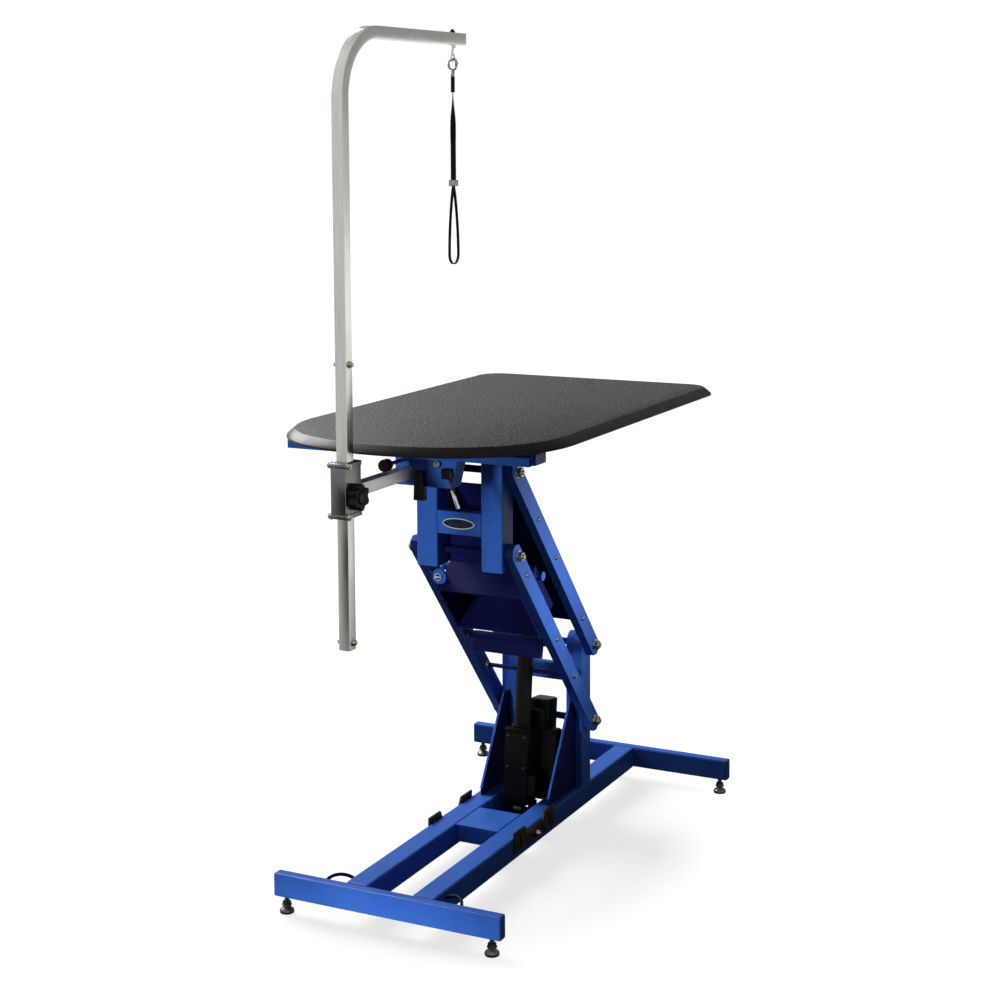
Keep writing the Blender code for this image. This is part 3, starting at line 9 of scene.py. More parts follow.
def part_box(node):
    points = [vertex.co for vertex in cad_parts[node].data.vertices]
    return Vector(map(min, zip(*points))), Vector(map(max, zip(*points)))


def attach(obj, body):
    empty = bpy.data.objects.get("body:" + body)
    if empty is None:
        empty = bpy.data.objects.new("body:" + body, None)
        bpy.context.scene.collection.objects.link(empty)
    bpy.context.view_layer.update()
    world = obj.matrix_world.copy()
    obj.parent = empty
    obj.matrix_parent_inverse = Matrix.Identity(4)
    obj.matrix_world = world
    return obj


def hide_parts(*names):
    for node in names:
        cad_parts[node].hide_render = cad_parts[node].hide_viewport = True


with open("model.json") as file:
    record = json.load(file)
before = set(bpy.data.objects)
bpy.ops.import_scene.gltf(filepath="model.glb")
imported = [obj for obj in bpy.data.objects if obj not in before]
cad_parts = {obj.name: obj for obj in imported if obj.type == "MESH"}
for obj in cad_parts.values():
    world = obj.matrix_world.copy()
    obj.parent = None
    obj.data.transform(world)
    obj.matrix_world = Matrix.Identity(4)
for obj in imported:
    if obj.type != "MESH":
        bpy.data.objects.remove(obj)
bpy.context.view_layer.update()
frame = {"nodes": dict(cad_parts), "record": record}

# %% [markdown]
# The picture was taken from the front right, a little above the tabletop, with a long lens, so upright
# edges stay nearly parallel. It is cropped lower than the lens axis, and the camera's shift stands for that
# crop: tilting the camera instead would make the uprights lean together.

# %% Camera at the photograph's view
PICTURE = 1000
FOCAL_PIXELS = 1910.06
SENSOR_MM = 36.0
CROP_SHIFT = -0.15
AZIMUTH = 0.46134
PITCH = 0.11554
ROLL = -0.00479
CAMERA_PLACE = Vector((1.8564, -3.7049, 1.6142))

level = math.cos(PITCH)
ahead = Vector((-math.sin(AZIMUTH) * level, math.cos(AZIMUTH) * level, -math.sin(PITCH)))
right = Vector((math.cos(AZIMUTH), math.sin(AZIMUTH), 0))
up = right.cross(ahead)
rolled_right = right * math.cos(ROLL) + up * math.sin(ROLL)
rolled_up = up * math.cos(ROLL) - right * math.sin(ROLL)
camera_data = bpy.data.cameras.new("photo_camera")
camera_data.sensor_width = SENSOR_MM
camera_data.lens = FOCAL_PIXELS * SENSOR_MM / PICTURE
camera_data.shift_y = CROP_SHIFT
camera = bpy.data.objects.new("photo_camera", camera_data)
camera.matrix_world = Matrix.Translation(CAMERA_PLACE) @ Matrix(
    (rolled_right, rolled_up, -ahead)).transposed().to_4x4()
bpy.context.scene.collection.objects.link(camera)
bpy.context.scene.camera = camera
bpy.context.scene.view_settings.view_transform = "Standard"
print("camera lens", round(camera_data.lens, 2), "mm")

# %% [markdown]
# Every finish below is a small node tree. One helper turns a written sRGB colour into the linear numbers
# that a shader works with, one fills a node's inputs and one adds a node. On most finishes the colour and
# the roughness wander a little, so one helper wires that ending.

# %% Colour and node helpers
def linear(colour):
    """Turn an sRGB hex colour such as #3A66C4 into linear red, green, blue and alpha."""
    parts = []
    for k in (1, 3, 5):
        c = int(colour[k:k + 2], 16) / 255
        parts.append(c / 12.92 if c <= 0.04045 else ((c + 0.055) / 1.055) ** 2.4)
    return (*parts, 1.0)


def wire(node, wires):
    """Fill a node's inputs with values, with sockets, or with the first output of other nodes."""
    for key, value in wires.items():
        if isinstance(value, bpy.types.Node):
            value = value.outputs[0]
        if isinstance(value, bpy.types.NodeSocket):
            node.id_data.links.new(value, node.inputs[key])
        else:
            node.inputs[key].default_value = value


def add(tree, kind, wires=None, stops=(), **settings):
    """Add a node, set its properties, place a colour ramp's two stops, and fill its inputs."""
    made = tree.nodes.new("ShaderNode" + kind)
    for key, value in settings.items():
        setattr(made, key, value)
    for k, (position, colour) in enumerate(stops):
        made.color_ramp.elements[k].position = position
        made.color_ramp.elements[k].color = colour
    wire(made, wires or {})
    return made


def start_finish(name, metallic, roughness, **sockets):
    """A named material with a plain shader: returns it, its tree, the shader and object coordinates."""
    made = bpy.data.materials.new(name)
    made.use_nodes = True
    tree = made.node_tree
    shader = tree.nodes["Principled BSDF"]
    wire(shader, {"Metallic": metallic, "Roughness": roughness})
    wire(shader, {key.replace("_", " "): value for key, value in sockets.items()})
    return made, tree, shader, add(tree, "TexCoord").outputs["Object"]


def wander(shader, colours, tint_by, dull_by, dull):
    """One value picks between two colours and one sets the roughness; a noise runs from about 0.3 to 0.7."""
    low, high = (linear(colour) for colour in colours)
    tint = add(shader.id_data, "ValToRGB", {"Fac": tint_by}, stops=((0.3, low), (0.7, high)))
    rough = add(shader.id_data, "MapRange", {"Value": dull_by, 1: 0.3, 2: 0.7, 3: dull[0], 4: dull[1]})
    wire(shader, {"Base Color": tint, "Roughness": rough})


def per_mm(size):
    """Texture scale at which one feature is this many millimetres, on coordinates in metres."""
    return 1000.0 / size


print("helpers ready")

# %% [markdown]
# The frame is steel with a blue powder coat. The powder melts into a skin with a faint ripple called orange
# peel, which breaks up reflections. The real ripple is about 2 mm across, too fine to show here, so it is
# drawn at 5 mm. Plates deep in the frame, and a few rods and spacers, have the same coat in a deeper blue,
# which is painted shade.

# %% Powder coat
def powder_coat(name, colours, roughness, shine):
    made, tree, shader, place = start_finish(name, 0.0, roughness, Specular_IOR_Level=shine)
    cloud = add(tree, "TexNoise", {"Vector": place, "Scale": per_mm(60), "Detail": 3.0})
    peel = add(tree, "TexNoise", {"Vector": place, "Scale": per_mm(5), "Detail": 1.0})
    wander(shader, colours, cloud, cloud, (roughness - 0.05, roughness + 0.07))
    wire(shader, {"Normal": add(tree, "Bump", {"Height": peel, "Strength": 0.10, "Distance": 0.0008})})
    return made


BLUE_COAT = powder_coat("blue_powder_coat", ("#3361BC", "#3A69C4"), 0.34, 0.12)
# The deeper blue is painted shade: the same coat, drawn darker for parts that lie in shade.
SHADED_BLUE_COAT = powder_coat("blue_powder_coat_painted_shade", ("#12184A", "#171D52"), 0.46, 0.04)
print("powder coats", BLUE_COAT.name, SHADED_BLUE_COAT.name)

# %% [markdown]
# Metals take their look from what they reflect. Bolts are zinc-plated, grey with a faint warm cast. The
# plating is patchy, so its roughness wanders, and on the feet it has gone dull. Chrome on the lever is
# smooth and pale. The slotted plates are steel blackened with oil, so they look brown and matte. The hook
# is nickel-plated, darker than chrome, and the badge's field is dark anodised aluminium.

# %% Plated, oiled and anodised metals
def plain_metal(name, colours, roughness, spread, patch_mm):
    made, tree, shader, place = start_finish(name, 1.0, roughness)
    patch = add(tree, "TexNoise", {"Vector": place, "Scale": per_mm(patch_mm), "Detail": 4.0})
    wander(shader, colours, patch, patch, (roughness - spread, roughness + spread))
    return made


ZINC = plain_metal("zinc_plated_steel", ("#B4ADA0", "#C4BEB3"), 0.28, 0.04, 9)
CHROME = plain_metal("polished_chrome", ("#D6D7DA", "#E4E5E8"), 0.12, 0.04, 14)
NICKEL = plain_metal("nickel_plated_steel", ("#7E7C78", "#B4B2AE"), 0.16, 0.05, 5)
OILED_STEEL = plain_metal("oil_blackened_steel", ("#3E3C34", "#5A554A"), 0.46, 0.10, 18)
PLATE_METAL = plain_metal("dark_anodised_aluminium", ("#2B3040", "#3A4054"), 0.34, 0.05, 10)
DULL_ZINC = plain_metal("weathered_zinc", ("#5D5E57", "#7C7C73"), 0.36, 0.06, 6)
print("metals", [metal.name for metal in (ZINC, CHROME, NICKEL, OILED_STEEL, PLATE_METAL, DULL_ZINC)])

# %% [markdown]
# The post, boom and sleeve are stainless steel with fine lines lengthways, left by a polishing belt or by
# the mill. Real lines are under 0.1 mm, so they are drawn 1.5 mm apart. They follow a map made with each
# piece, because the post turns a corner and the lines turn with it. The post is the smoothest and mirrors
# the room. The boom has a satin polish, and the sleeve is drawn darker.

# %% Stainless steel with lines
def belt_polished(name, colours, roughness):
    made, tree, shader, place = start_finish(name, 1.0, roughness, Anisotropic=0.35)
    layout = add(tree, "UVMap", uv_map="run")
    lines = add(tree, "Mapping", {"Vector": layout, "Scale": (per_mm(1.5), per_mm(120), 1.0)})
    grain = add(tree, "TexNoise", {"Vector": lines, "Scale": 1.0, "Detail": 4.0})
    cloud = add(tree, "TexNoise", {"Vector": place, "Scale": per_mm(90), "Detail": 2.0})
    wander(shader, colours, grain, cloud, (roughness - 0.07, roughness + 0.07))
    wire(shader, {"Normal": add(tree, "Bump", {"Height": grain, "Strength": 0.06, "Distance": 0.0004})})
    return made


STAINLESS = belt_polished("belt_polished_stainless", ("#D3D2CC", "#ECEAE4"), 0.26)
SATIN_STEEL = belt_polished("satin_stainless", ("#E4E1DA", "#F4F1EA"), 0.56)
# The sleeve's steel is drawn darker than the post's.
SLEEVE_STEEL = belt_polished("darker_stainless", ("#6C6B69", "#8B8986"), 0.30)
print("stainless", STAINLESS.name, SATIN_STEEL.name, SLEEVE_STEEL.name)

# %% [markdown]
# The knobs and the grip are moulded black plastic. A mould has a fine spark-eroded skin, so plastic looks
# black with a soft grey sheen. The grit is drawn at 1.6 mm to show. Rubber is duller and greyer, with some
# bloom. The mat's sloping edge is smooth rubber, nearly black with a gleam where it faces the lamp. The
# actuator is a painted die casting, and the board under the mat is painted too.

# %% Moulded plastic, rubber and black paint
def moulded(name, colours, roughness, grit_mm, depth, shine):
    made, tree, shader, place = start_finish(name, 0.0, roughness, Specular_IOR_Level=shine)
    grit = add(tree, "TexNoise", {"Vector": place, "Scale": per_mm(grit_mm), "Detail": 2.0})
    bloom = add(tree, "TexNoise", {"Vector": place, "Scale": per_mm(40), "Detail": 3.0})
    wander(shader, colours, bloom, bloom, (roughness - 0.06, roughness + 0.06))
    wire(shader, {"Normal": add(tree, "Bump", {"Height": grit, "Strength": 0.15, "Distance": depth})})
    return made


BLACK_PLASTIC = moulded("moulded_black_plastic", ("#0B0B0C", "#121213"), 0.40, 1.6, 0.0003, 0.16)
CASTING = moulded("black_die_casting", ("#070708", "#0D0D0E"), 0.36, 2.4, 0.0003, 0.10)
RUBBER = moulded("black_rubber", ("#1D1D1D", "#2A2A29"), 0.68, 2.2, 0.0004, 0.2)
MAT_EDGE = moulded("smooth_rubber_edge", ("#060606", "#0B0B0B"), 0.34, 3.0, 0.0002, 0.15)
UNDERSIDE = moulded("painted_board", ("#161616", "#1E1E1D"), 0.62, 6.0, 0.0003, 0.1)
print("plastics", BLACK_PLASTIC.name, RUBBER.name, MAT_EDGE.name, "paints", CASTING.name, UNDERSIDE.name)

# %% [markdown]
# The top is covered with a rubber mat, pressed with a pebble pattern for grip. Real pebbles are about 2.5
# mm across and are drawn at 3.2 mm to show. They are cells of a Voronoi texture, whose distance gives
# domes. Pale specks from a noise are added to the colour: they are painted glints of light on the pebbles.

# %% Pebbled mat
def pebbled_mat():
    made, tree, shader, place = start_finish("pebbled_rubber_mat", 0.0, 0.5, Specular_IOR_Level=0.18)
    cells = add(tree, "TexVoronoi", {"Vector": place, "Scale": per_mm(3.2), "Randomness": 0.9})
    cloud = add(tree, "TexNoise", {"Vector": place, "Scale": per_mm(45), "Detail": 4.0})
    glint_noise = add(tree, "TexNoise", {"Vector": place, "Scale": per_mm(4.5), "Detail": 3.0})
    wander(shader, ("#2A2927", "#363533"), cloud, glint_noise, (0.58, 0.40))
    base = shader.inputs["Base Color"].links[0].from_socket
    # Pale specks added to the colour are painted glints of light on the pebbles.
    painted_glint = add(tree, "ValToRGB", {"Fac": glint_noise}, stops=((0.55, (0, 0, 0, 1)), (0.70, linear("#8C8A82"))))
    tint = add(tree, "Mix", {0: 0.9, 6: base, 7: painted_glint}, data_type="RGBA", blend_type="ADD")
    domes = add(tree, "Bump", {"Height": cells, "Strength": 0.45, "Distance": 0.0009}, invert=True)
    wire(shader, {"Base Color": tint.outputs[2], "Normal": domes})
    return made


MAT = pebbled_mat()
print("mat", MAT.name)

# %% [markdown]
# The noose is woven polyester tape. Weft threads cross it and warp threads run along it, so the surface is
# a small checker of raised threads. Real threads are under 1 mm apart and are drawn at about 2 mm to show.
# The tape's own map gives metres across and along it.

# %% Woven tape
def woven_tape():
    made, tree, shader, _ = start_finish(
        "woven_polyester_tape", 0.0, 0.78, Specular_IOR_Level=0.2, Sheen_Weight=0.05)
    layout = add(tree, "UVMap", uv_map="run")
    weft = add(tree, "TexWave", {"Vector": layout, "Scale": per_mm(2 * 1.8), "Distortion": 0.6},
               bands_direction="Y")
    warp = add(tree, "TexWave", {"Vector": layout, "Scale": per_mm(2 * 2.0)}, bands_direction="X")
    cross = add(tree, "Math", {0: weft.outputs["Fac"], 1: warp.outputs["Fac"]}, operation="MULTIPLY")
    tint = add(tree, "ValToRGB", {"Fac": cross}, stops=((0.1, linear("#060607")), (0.9, linear("#161617"))))
    thread = add(tree, "Bump", {"Height": cross, "Strength": 0.5, "Distance": 0.0004})
    wire(shader, {"Base Color": tint, "Normal": thread})
    return made


TAPE = woven_tape()
print("tape", TAPE.name)

# %% [markdown]
# Every CAD node that keeps its own shape gets the finish of the real piece it stands for. The record gives
# each node's slot, so one table from slot to finish dresses them all, with a few named exceptions.

# %% Finishes for the CAD nodes
# The navy slot gets the deeper blue, which is painted shade.
SLOT_FINISH = {
    "blue": BLUE_COAT, "navy": SHADED_BLUE_COAT, "zinc": ZINC, "steel": ZINC, "rubber": RUBBER,
    "black": BLACK_PLASTIC, "silver": PLATE_METAL, "webbing": TAPE, "board": UNDERSIDE,
}
OWN_FINISH = {
    "keyhole_plate_left": OILED_STEEL, "keyhole_plate_right": OILED_STEEL, "eye_bolt": CHROME,
    "snap_hook": NICKEL, "noose_slider": NICKEL,
}
slots = {entry["node"]: entry["material_slot"] for entry in frame["record"]["subparts"]}
for node_name in frame["nodes"]:
    finishes = bpy.data.objects[node_name].data.materials
    finishes.clear()
    finishes.append(OWN_FINISH.get(node_name) or SLOT_FINISH[slots[node_name]])
print("nodes dressed", len(frame["nodes"]))

# %% [markdown]
# The floor and the light come early. The photograph is a cut-out on white, with soft shadows close to the
# base. So the floor fades to white round the base, and what it sends back to the table is kept low, because
# the undersides in the photograph are nearly black. Only what mirrors show of the room is bright, and it is
# graded from front to rear, so that the faces of the post differ.

# %% Floor
WHITE = (1, 1, 1, 1)
BASE_REACH = (0.42, 0.72)


def studio_floor():
    made, tree, shader, place = start_finish("studio_floor", 0.0, 0.9)
    wire(shader, {"Base Color": linear("#F4F4F4")})
    shrunk = add(tree, "VectorMath", {0: place, 1: (1 / BASE_REACH[0], 1 / BASE_REACH[1], 1.0)},
                 operation="MULTIPLY")
    reach = add(tree, "VectorMath", {0: shrunk}, operation="LENGTH").outputs["Value"]
    near = add(tree, "MapRange", {"Value": reach, 1: 0.80, 2: 1.25, 3: 0.68, 4: 1.0})
    far = add(tree, "MapRange", {"Value": reach, 1: 2.0, 2: 6.0, 3: 0.0, 4: 1.0})
    axis = add(tree, "SeparateXYZ", {"Vector": place})
    sweep = add(tree, "MapRange", {"Value": axis.outputs["Y"], 1: -4.0, 2: 4.0, 3: 0.60, 4: 1.1})
    glow = add(tree, "Emission", {"Color": WHITE, "Strength": sweep})
    clear = add(tree, "Emission", {"Color": WHITE, "Strength": 1.10})
    dim = add(tree, "BsdfDiffuse", {"Color": linear("#565656")})
    path = add(tree, "LightPath").outputs
    shown = add(tree, "MixShader", {"Fac": near, 1: shader, 2: clear})
    mirrored = add(tree, "Math", {0: far, 1: path["Is Glossy Ray"]}, operation="MULTIPLY")
    sent_back = add(tree, "MixShader", {"Fac": mirrored, 1: dim, 2: glow})
    blend = add(tree, "MixShader", {"Fac": path["Is Camera Ray"], 1: sent_back, 2: shown})
    wire(tree.nodes["Material Output"], {"Surface": blend})
    return made


bpy.ops.object.select_all(action="DESELECT")
bpy.ops.mesh.primitive_plane_add(size=60, location=(0, 0, -0.0005))
floor = bpy.context.object
floor.name = "studio_floor"
floor.data.materials.append(studio_floor())
print("floor", floor.name, "shaded round the base within", BASE_REACH)

# %% World
world = bpy.data.worlds.new("studio_white")
world.use_nodes = True
bpy.context.scene.world = world
sky = world.node_tree
sky_path = add(sky, "LightPath").outputs
sky_clear = add(sky, "Math", {0: sky_path["Is Camera Ray"], 1: sky_path["Is Transmission Ray"]},
                operation="MAXIMUM")
sky_axis = add(sky, "SeparateXYZ", {"Vector": add(sky, "TexCoord").outputs["Generated"]})
sky_front = add(sky, "MapRange", {"Value": sky_axis.outputs["Y"], 1: -0.2, 2: 0.7, 3: 0.72, 4: 0.34})
sky_mirror = add(sky, "MapRange", {"Value": sky_path["Is Glossy Ray"], 1: 0.0, 2: 1.0, 3: 0.10, 4: sky_front})
sky_level = add(sky, "Math", {0: sky_clear, 1: sky_mirror}, operation="MAXIMUM")
wire(sky.nodes["Background"], {"Color": WHITE, "Strength": sky_level})
print("world", world.name)

# %% [markdown]
# A large lamp at the upper left, a little behind, lights the top faces and throws the shadows to the right.
# Three small lamps have narrow beams. Two light the front: the low one stands level with the front bar, and
# a black flag cuts off the top of its beam. One lights the right arms squarely, so that they shade the left
# ones. Light linking keeps these three off a few pieces that the photograph shows dark. A second black
# cloth, which only mirrors show, darkens the lower end of the post.

# %% Lamp and cloth helpers
def soft_lamp(name, place, aim, size, watts, spread):
    """A square area lamp aimed at a point; one with a narrow spread is not seen in mirrors."""
    lamp_data = bpy.data.lights.new(name, "AREA")
    lamp_data.shape = "SQUARE"
    lamp_data.size = size
    lamp_data.energy = watts
    lamp_data.spread = math.radians(spread)
    lamp = bpy.data.objects.new(name, lamp_data)
    lamp.visible_glossy = spread > 90
    way = Vector(aim) - Vector(place)
    lamp.matrix_world = Matrix.Translation(place) @ way.to_track_quat("-Z", "Y").to_matrix().to_4x4()
    bpy.context.scene.collection.objects.link(lamp)
    return lamp


def keep_off(lamp, *node_names):
    """Light linking stands in for small flags: these nodes get no light from the lamp."""
    shaded = bpy.data.collections.new("kept_from_" + lamp.name)
    for node_name in node_names:
        shaded.objects.link(bpy.data.objects[node_name])
    lamp.light_linking.receiver_collection = shaded
    for member in shaded.collection_objects:
        member.light_linking.link_state = "EXCLUDE"


def black_cloth(name, place, width, height):
    """An upright sheet of black cloth that faces the table and stays out of the picture."""
    bpy.ops.object.select_all(action="DESELECT")
    bpy.ops.mesh.primitive_plane_add(size=1, location=place, rotation=(math.pi / 2, 0, 0))
    cloth = bpy.context.object
    cloth.name = name
    cloth.scale = (width, height, 1)
    cloth.data.materials.append(FLAG_CLOTH)
    cloth.visible_camera = False
    return cloth


FLAG_CLOTH, _, cloth_shader, _ = start_finish("black_flag_cloth", 0.0, 0.9, Specular_IOR_Level=0.0)
wire(cloth_shader, {"Base Color": linear("#050505")})
print("lamp and cloth helpers ready, cloth finish", FLAG_CLOTH.name)

# %% Lamps and black cloths
soft_lamp("upper_left_lamp", (-2.5, 0.7, 2.6), (0, 0.05, 0.25), 2.2, 74, 120)
front_low = soft_lamp("front_low_lamp", (-0.5, -3.0, 0.10), (0, -0.6, 0.09), 0.16, 1.75, 24)
front_middle = soft_lamp("front_middle_lamp", (-0.5, -3.2, 1.15), (0, -0.10, 0.70), 0.5, 0.82, 19)
right_side = soft_lamp("right_lamp", (2.6, -0.02, 0.62), (0.12, 0.03, 0.58), 0.2, 0.82, 20)
keep_off(front_middle, "lower_arm_left", "lower_arm_right", "upper_arm_left", "upper_arm_right", "rear_bar")
keep_off(front_low, "rear_bar")
keep_off(right_side, "head_leg_left", "head_leg_right")
flag = black_cloth("black_flag", (-0.35, -2.2, 0.21), 1.4, 0.21)
flag.visible_glossy = False
mirrored_cloth = black_cloth("mirrored_cloth", (-0.13, -1.2, 0.64), 0.66, 0.36)
mirrored_cloth.visible_diffuse = False
mirrored_cloth.visible_shadow = False
print("lamps 4, cloths", flag.name, mirrored_cloth.name)

# %% [markdown]
# The pieces that follow are modelled as by hand: a primitive is added at its place, its faces are picked by
# where they look and pushed about in edit mode, and modifiers are applied at the end. The helpers take
# these steps, and settle puts a finished piece on its body.

# %% Shaping helpers
def only(obj=None):
    """Leave edit mode and select one object alone."""
    if bpy.context.object is not None and bpy.context.object.mode != "OBJECT":
        bpy.ops.object.mode_set(mode="OBJECT")
    bpy.ops.object.select_all(action="DESELECT")
    if obj is not None:
        obj.select_set(True)
        bpy.context.view_layer.objects.active = obj
    return obj


def looking(side):
    """A test for faces that look along an axis: one way for +Z or -Z, both ways for Z."""
    axis = "XYZ".index(side[-1])
    ways = {"+": (1,), "-": (-1,)}.get(side[0], (1, -1))
    return lambda face: any(way * face.normal[axis] > 0.9 for way in ways)


def pick_faces(obj, side):
    """Open edit mode with the faces of a side such as +Z selected, or those that pass a test."""
    test = looking(side) if isinstance(side, str) else side
    only(obj)
    bpy.ops.object.mode_set(mode="EDIT")
    bpy.ops.mesh.select_mode(type="FACE")
    bpy.ops.mesh.select_all(action="DESELECT")
    bpy.ops.object.mode_set(mode="OBJECT")
    for face in obj.data.polygons:
        face.select = bool(test(face))
    bpy.ops.object.mode_set(mode="EDIT")


def inset_steps(obj, side, steps):
    """Inset the picked faces again and again: each step gives how far in and how far out."""
    pick_faces(obj, side)
    for inward, outward in steps:
        bpy.ops.mesh.inset(thickness=inward, depth=outward, use_even_offset=True)
    return only(obj)


def normals_out(obj):
    """Turn every face to look outward."""
    pick_faces(obj, lambda face: True)
    bpy.ops.mesh.normals_make_consistent(inside=False)
    return only(obj)


def apply_modifier(obj, kind, **settings):
    only(obj)
    step = obj.modifiers.new(kind.lower(), kind)
    for key, value in settings.items():
        setattr(step, key, value)
    bpy.ops.object.modifier_apply(modifier=step.name)
    return obj


def smooth(obj, degrees):
    """Shade smooth, except across edges that are sharper than an angle."""
    only(obj)
    bpy.ops.object.shade_smooth_by_angle(angle=math.radians(degrees))
    return obj


def soften(obj, width, segments=2, sharp=35):
    """Round the edges and shade them smooth."""
    apply_modifier(
        obj, "BEVEL", width=width, segments=segments, limit_method="ANGLE", angle_limit=math.radians(sharp))
    return smooth(obj, 40)


def fixed(obj):
    """Put an object's turn and place into its mesh."""
    only(obj)
    bpy.ops.object.transform_apply(location=True, rotation=True, scale=True)
    return obj


def settle(obj, name, finish, body):
    """Put the object's place into its mesh, name it, give it its finish and let it ride on a body."""
    fixed(obj)
    obj.name = name
    obj.data.name = name
    obj.data.materials.clear()
    obj.data.materials.append(finish)
    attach(obj, body)
    return obj


def join(pieces):
    """Join several meshes into the first one."""
    only(pieces[0])
    for piece in pieces:
        piece.select_set(True)
    if len(pieces) > 1:
        bpy.ops.object.join()
    return pieces[0]


def copy_to(obj, matrix):
    """A copy with its own mesh, placed by a matrix that is applied to the mesh."""
    twin = obj.copy()
    twin.data = obj.data.copy()
    bpy.context.scene.collection.objects.link(twin)
    twin.data.transform(matrix)
    return twin


print("shaping helpers ready")

# %% [markdown]
# Most pieces start from a cube or a cylinder, and most places come from the boxes of the CAD nodes.

# %% Primitives and measures
ALONG = {"X": (0, math.pi / 2, 0), "Y": (-math.pi / 2, 0, 0), "Z": (0, 0, 0)}


def block(size, centre):
    """A cube primitive at its size and place."""
    only()
    bpy.ops.mesh.primitive_cube_add(size=1, location=centre)
    made = bpy.context.object
    made.scale = size
    bpy.ops.object.transform_apply(location=False, rotation=False, scale=True)
    return made


def round_bar(radius, length, centre, axis="Z", sides=40):
    """A cylinder primitive along an axis; its own Z runs along it until it is settled."""
    only()
    bpy.ops.mesh.primitive_cylinder_add(
        vertices=sides, radius=radius, depth=length, location=centre, rotation=ALONG[axis])
    return bpy.context.object


def swell(obj, factor):
    """Scale each vertex square to the piece's own Z by a factor that depends on its distance and angle."""
    for vertex in obj.data.vertices:
        scale = factor(math.hypot(vertex.co.x, vertex.co.y), math.atan2(vertex.co.y, vertex.co.x))
        vertex.co.x *= scale
        vertex.co.y *= scale


def middle_of(name):
    """The middle of a node's box."""
    low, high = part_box(name)
    return [(a + b) / 2 for a, b in zip(low, high)]


def size_of(name):
    """The size of a node's box."""
    low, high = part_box(name)
    return [b - a for a, b in zip(low, high)]


print("primitives ready along", list(ALONG))

# %% [markdown]
# The noose hangs from the post's arm. Its strap is two runs of tape side by side, drawn as one wide tape
# that twists by a third of a turn. Below the slider the runs part and make a drop-shaped loop. A flat tape
# is a grid whose rows are placed along a path, and Solidify gives it thickness.

# %% Noose strap
STRAP_WIDTH = 0.012
LOOP_WIDTH = 0.006
TAPE_THICKNESS = 0.0016
TAPE_COLUMNS = 5
STRAP_ROWS = 40
TWIST_SHARE = 0.6
noose_x, noose_y = middle_of("noose_strap")[:2]
strap_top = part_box("noose_strap")[1][2]
loop_low, loop_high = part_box("noose_loop")
strap_end = loop_high[2] + 0.0003


def tape(points, across, width):
    """A flat tape along points; across gives the direction of its width at each point."""
    rows = len(points)
    only()
    bpy.ops.mesh.primitive_grid_add(x_subdivisions=TAPE_COLUMNS - 1, y_subdivisions=rows - 1, size=1)
    made = bpy.context.object
    run = [0.0]
    for k in range(1, rows):
        run.append(run[-1] + (Vector(points[k]) - Vector(points[k - 1])).length)
    for vertex in made.data.vertices:
        row, column = divmod(vertex.index, TAPE_COLUMNS)
        vertex.co = Vector(points[row]) + Vector(across[row]) * width * (column / (TAPE_COLUMNS - 1) - 0.5)
    layout = made.data.uv_layers.new(name="run")
    for corner in made.data.loops:
        row, column = divmod(corner.vertex_index, TAPE_COLUMNS)
        layout.data[corner.index].uv = (width * column / (TAPE_COLUMNS - 1), run[row])
    made.data.uv_layers.active = layout
    apply_modifier(made, "SOLIDIFY", thickness=TAPE_THICKNESS, offset=0.0)
    return smooth(made, 50), run[-1]


strap_points = []
strap_across = []
for k in range(STRAP_ROWS + 1):
    share = k / STRAP_ROWS
    twist = min(1.0, share / TWIST_SHARE)
    turn = (AZIMUTH + math.pi / 2) * (1 - twist * twist * (3 - 2 * twist))
    strap_points.append((noose_x, noose_y, strap_top + (strap_end - strap_top) * share))
    strap_across.append((math.cos(turn), math.sin(turn), 0))
strap, strap_run = tape(strap_points, strap_across, STRAP_WIDTH)
settle(strap, "noose_tape_strap", TAPE, "noose")
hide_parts("noose_strap")
print("strap", round(strap_run, 4), "m")

# %% Noose loop
LEG_OFFSET = 0.0014
LEG_STRAIGHT = 0.0079
half_open = size_of("noose_loop")[1] / 2 - 0.001
drop_start = loop_high[2] - LEG_STRAIGHT
bend_height = loop_low[2] + 0.001 + half_open
side_points = [(-LEG_OFFSET, loop_high[2]), (-LEG_OFFSET, drop_start)]
for k in range(1, 17):
    share = k / 16
    ease = math.sin(math.pi / 2 * share) ** 0.8
    side_points.append((-LEG_OFFSET - (half_open - LEG_OFFSET) * ease,
                        drop_start + (bend_height - drop_start) * share))
for k in range(1, 9):
    turn = math.radians(180 + 90 * k / 8)
    side_points.append((half_open * math.cos(turn), bend_height + half_open * math.sin(turn)))
whole = side_points + [(-y, z) for y, z in reversed(side_points[:-1])]
loop_points = [(noose_x, noose_y + y, z) for y, z in whole]
loop, loop_run = tape(loop_points, [(1, 0, 0)] * len(loop_points), LOOP_WIDTH)
settle(loop, "noose_tape_loop", TAPE, "noose")
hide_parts("noose_loop")
print("loop", round(loop_run, 4), "m, open", round(2 * half_open, 4), "m")

# %% [markdown]
# The top is a board under a thick rubber mat. The mat's edge slopes out from a crisp crease to a thin lip,
# and the board is set back below it. The front is bowed a little fuller than an ellipse. A cylinder with as
# many sides as the outline has points makes the lip, and insets that also rise make the slope and the
# crease.

# %% Tabletop outline
mat_low, mat_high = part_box("mat")
board_low, board_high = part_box("tabletop_board")
half_width = mat_high[0]
BOW_DEPTH = 0.282
BOW_POWER = 2.22
REAR_CORNER = 0.070
LIP = 0.0025
BOARD_SET_BACK = 0.060


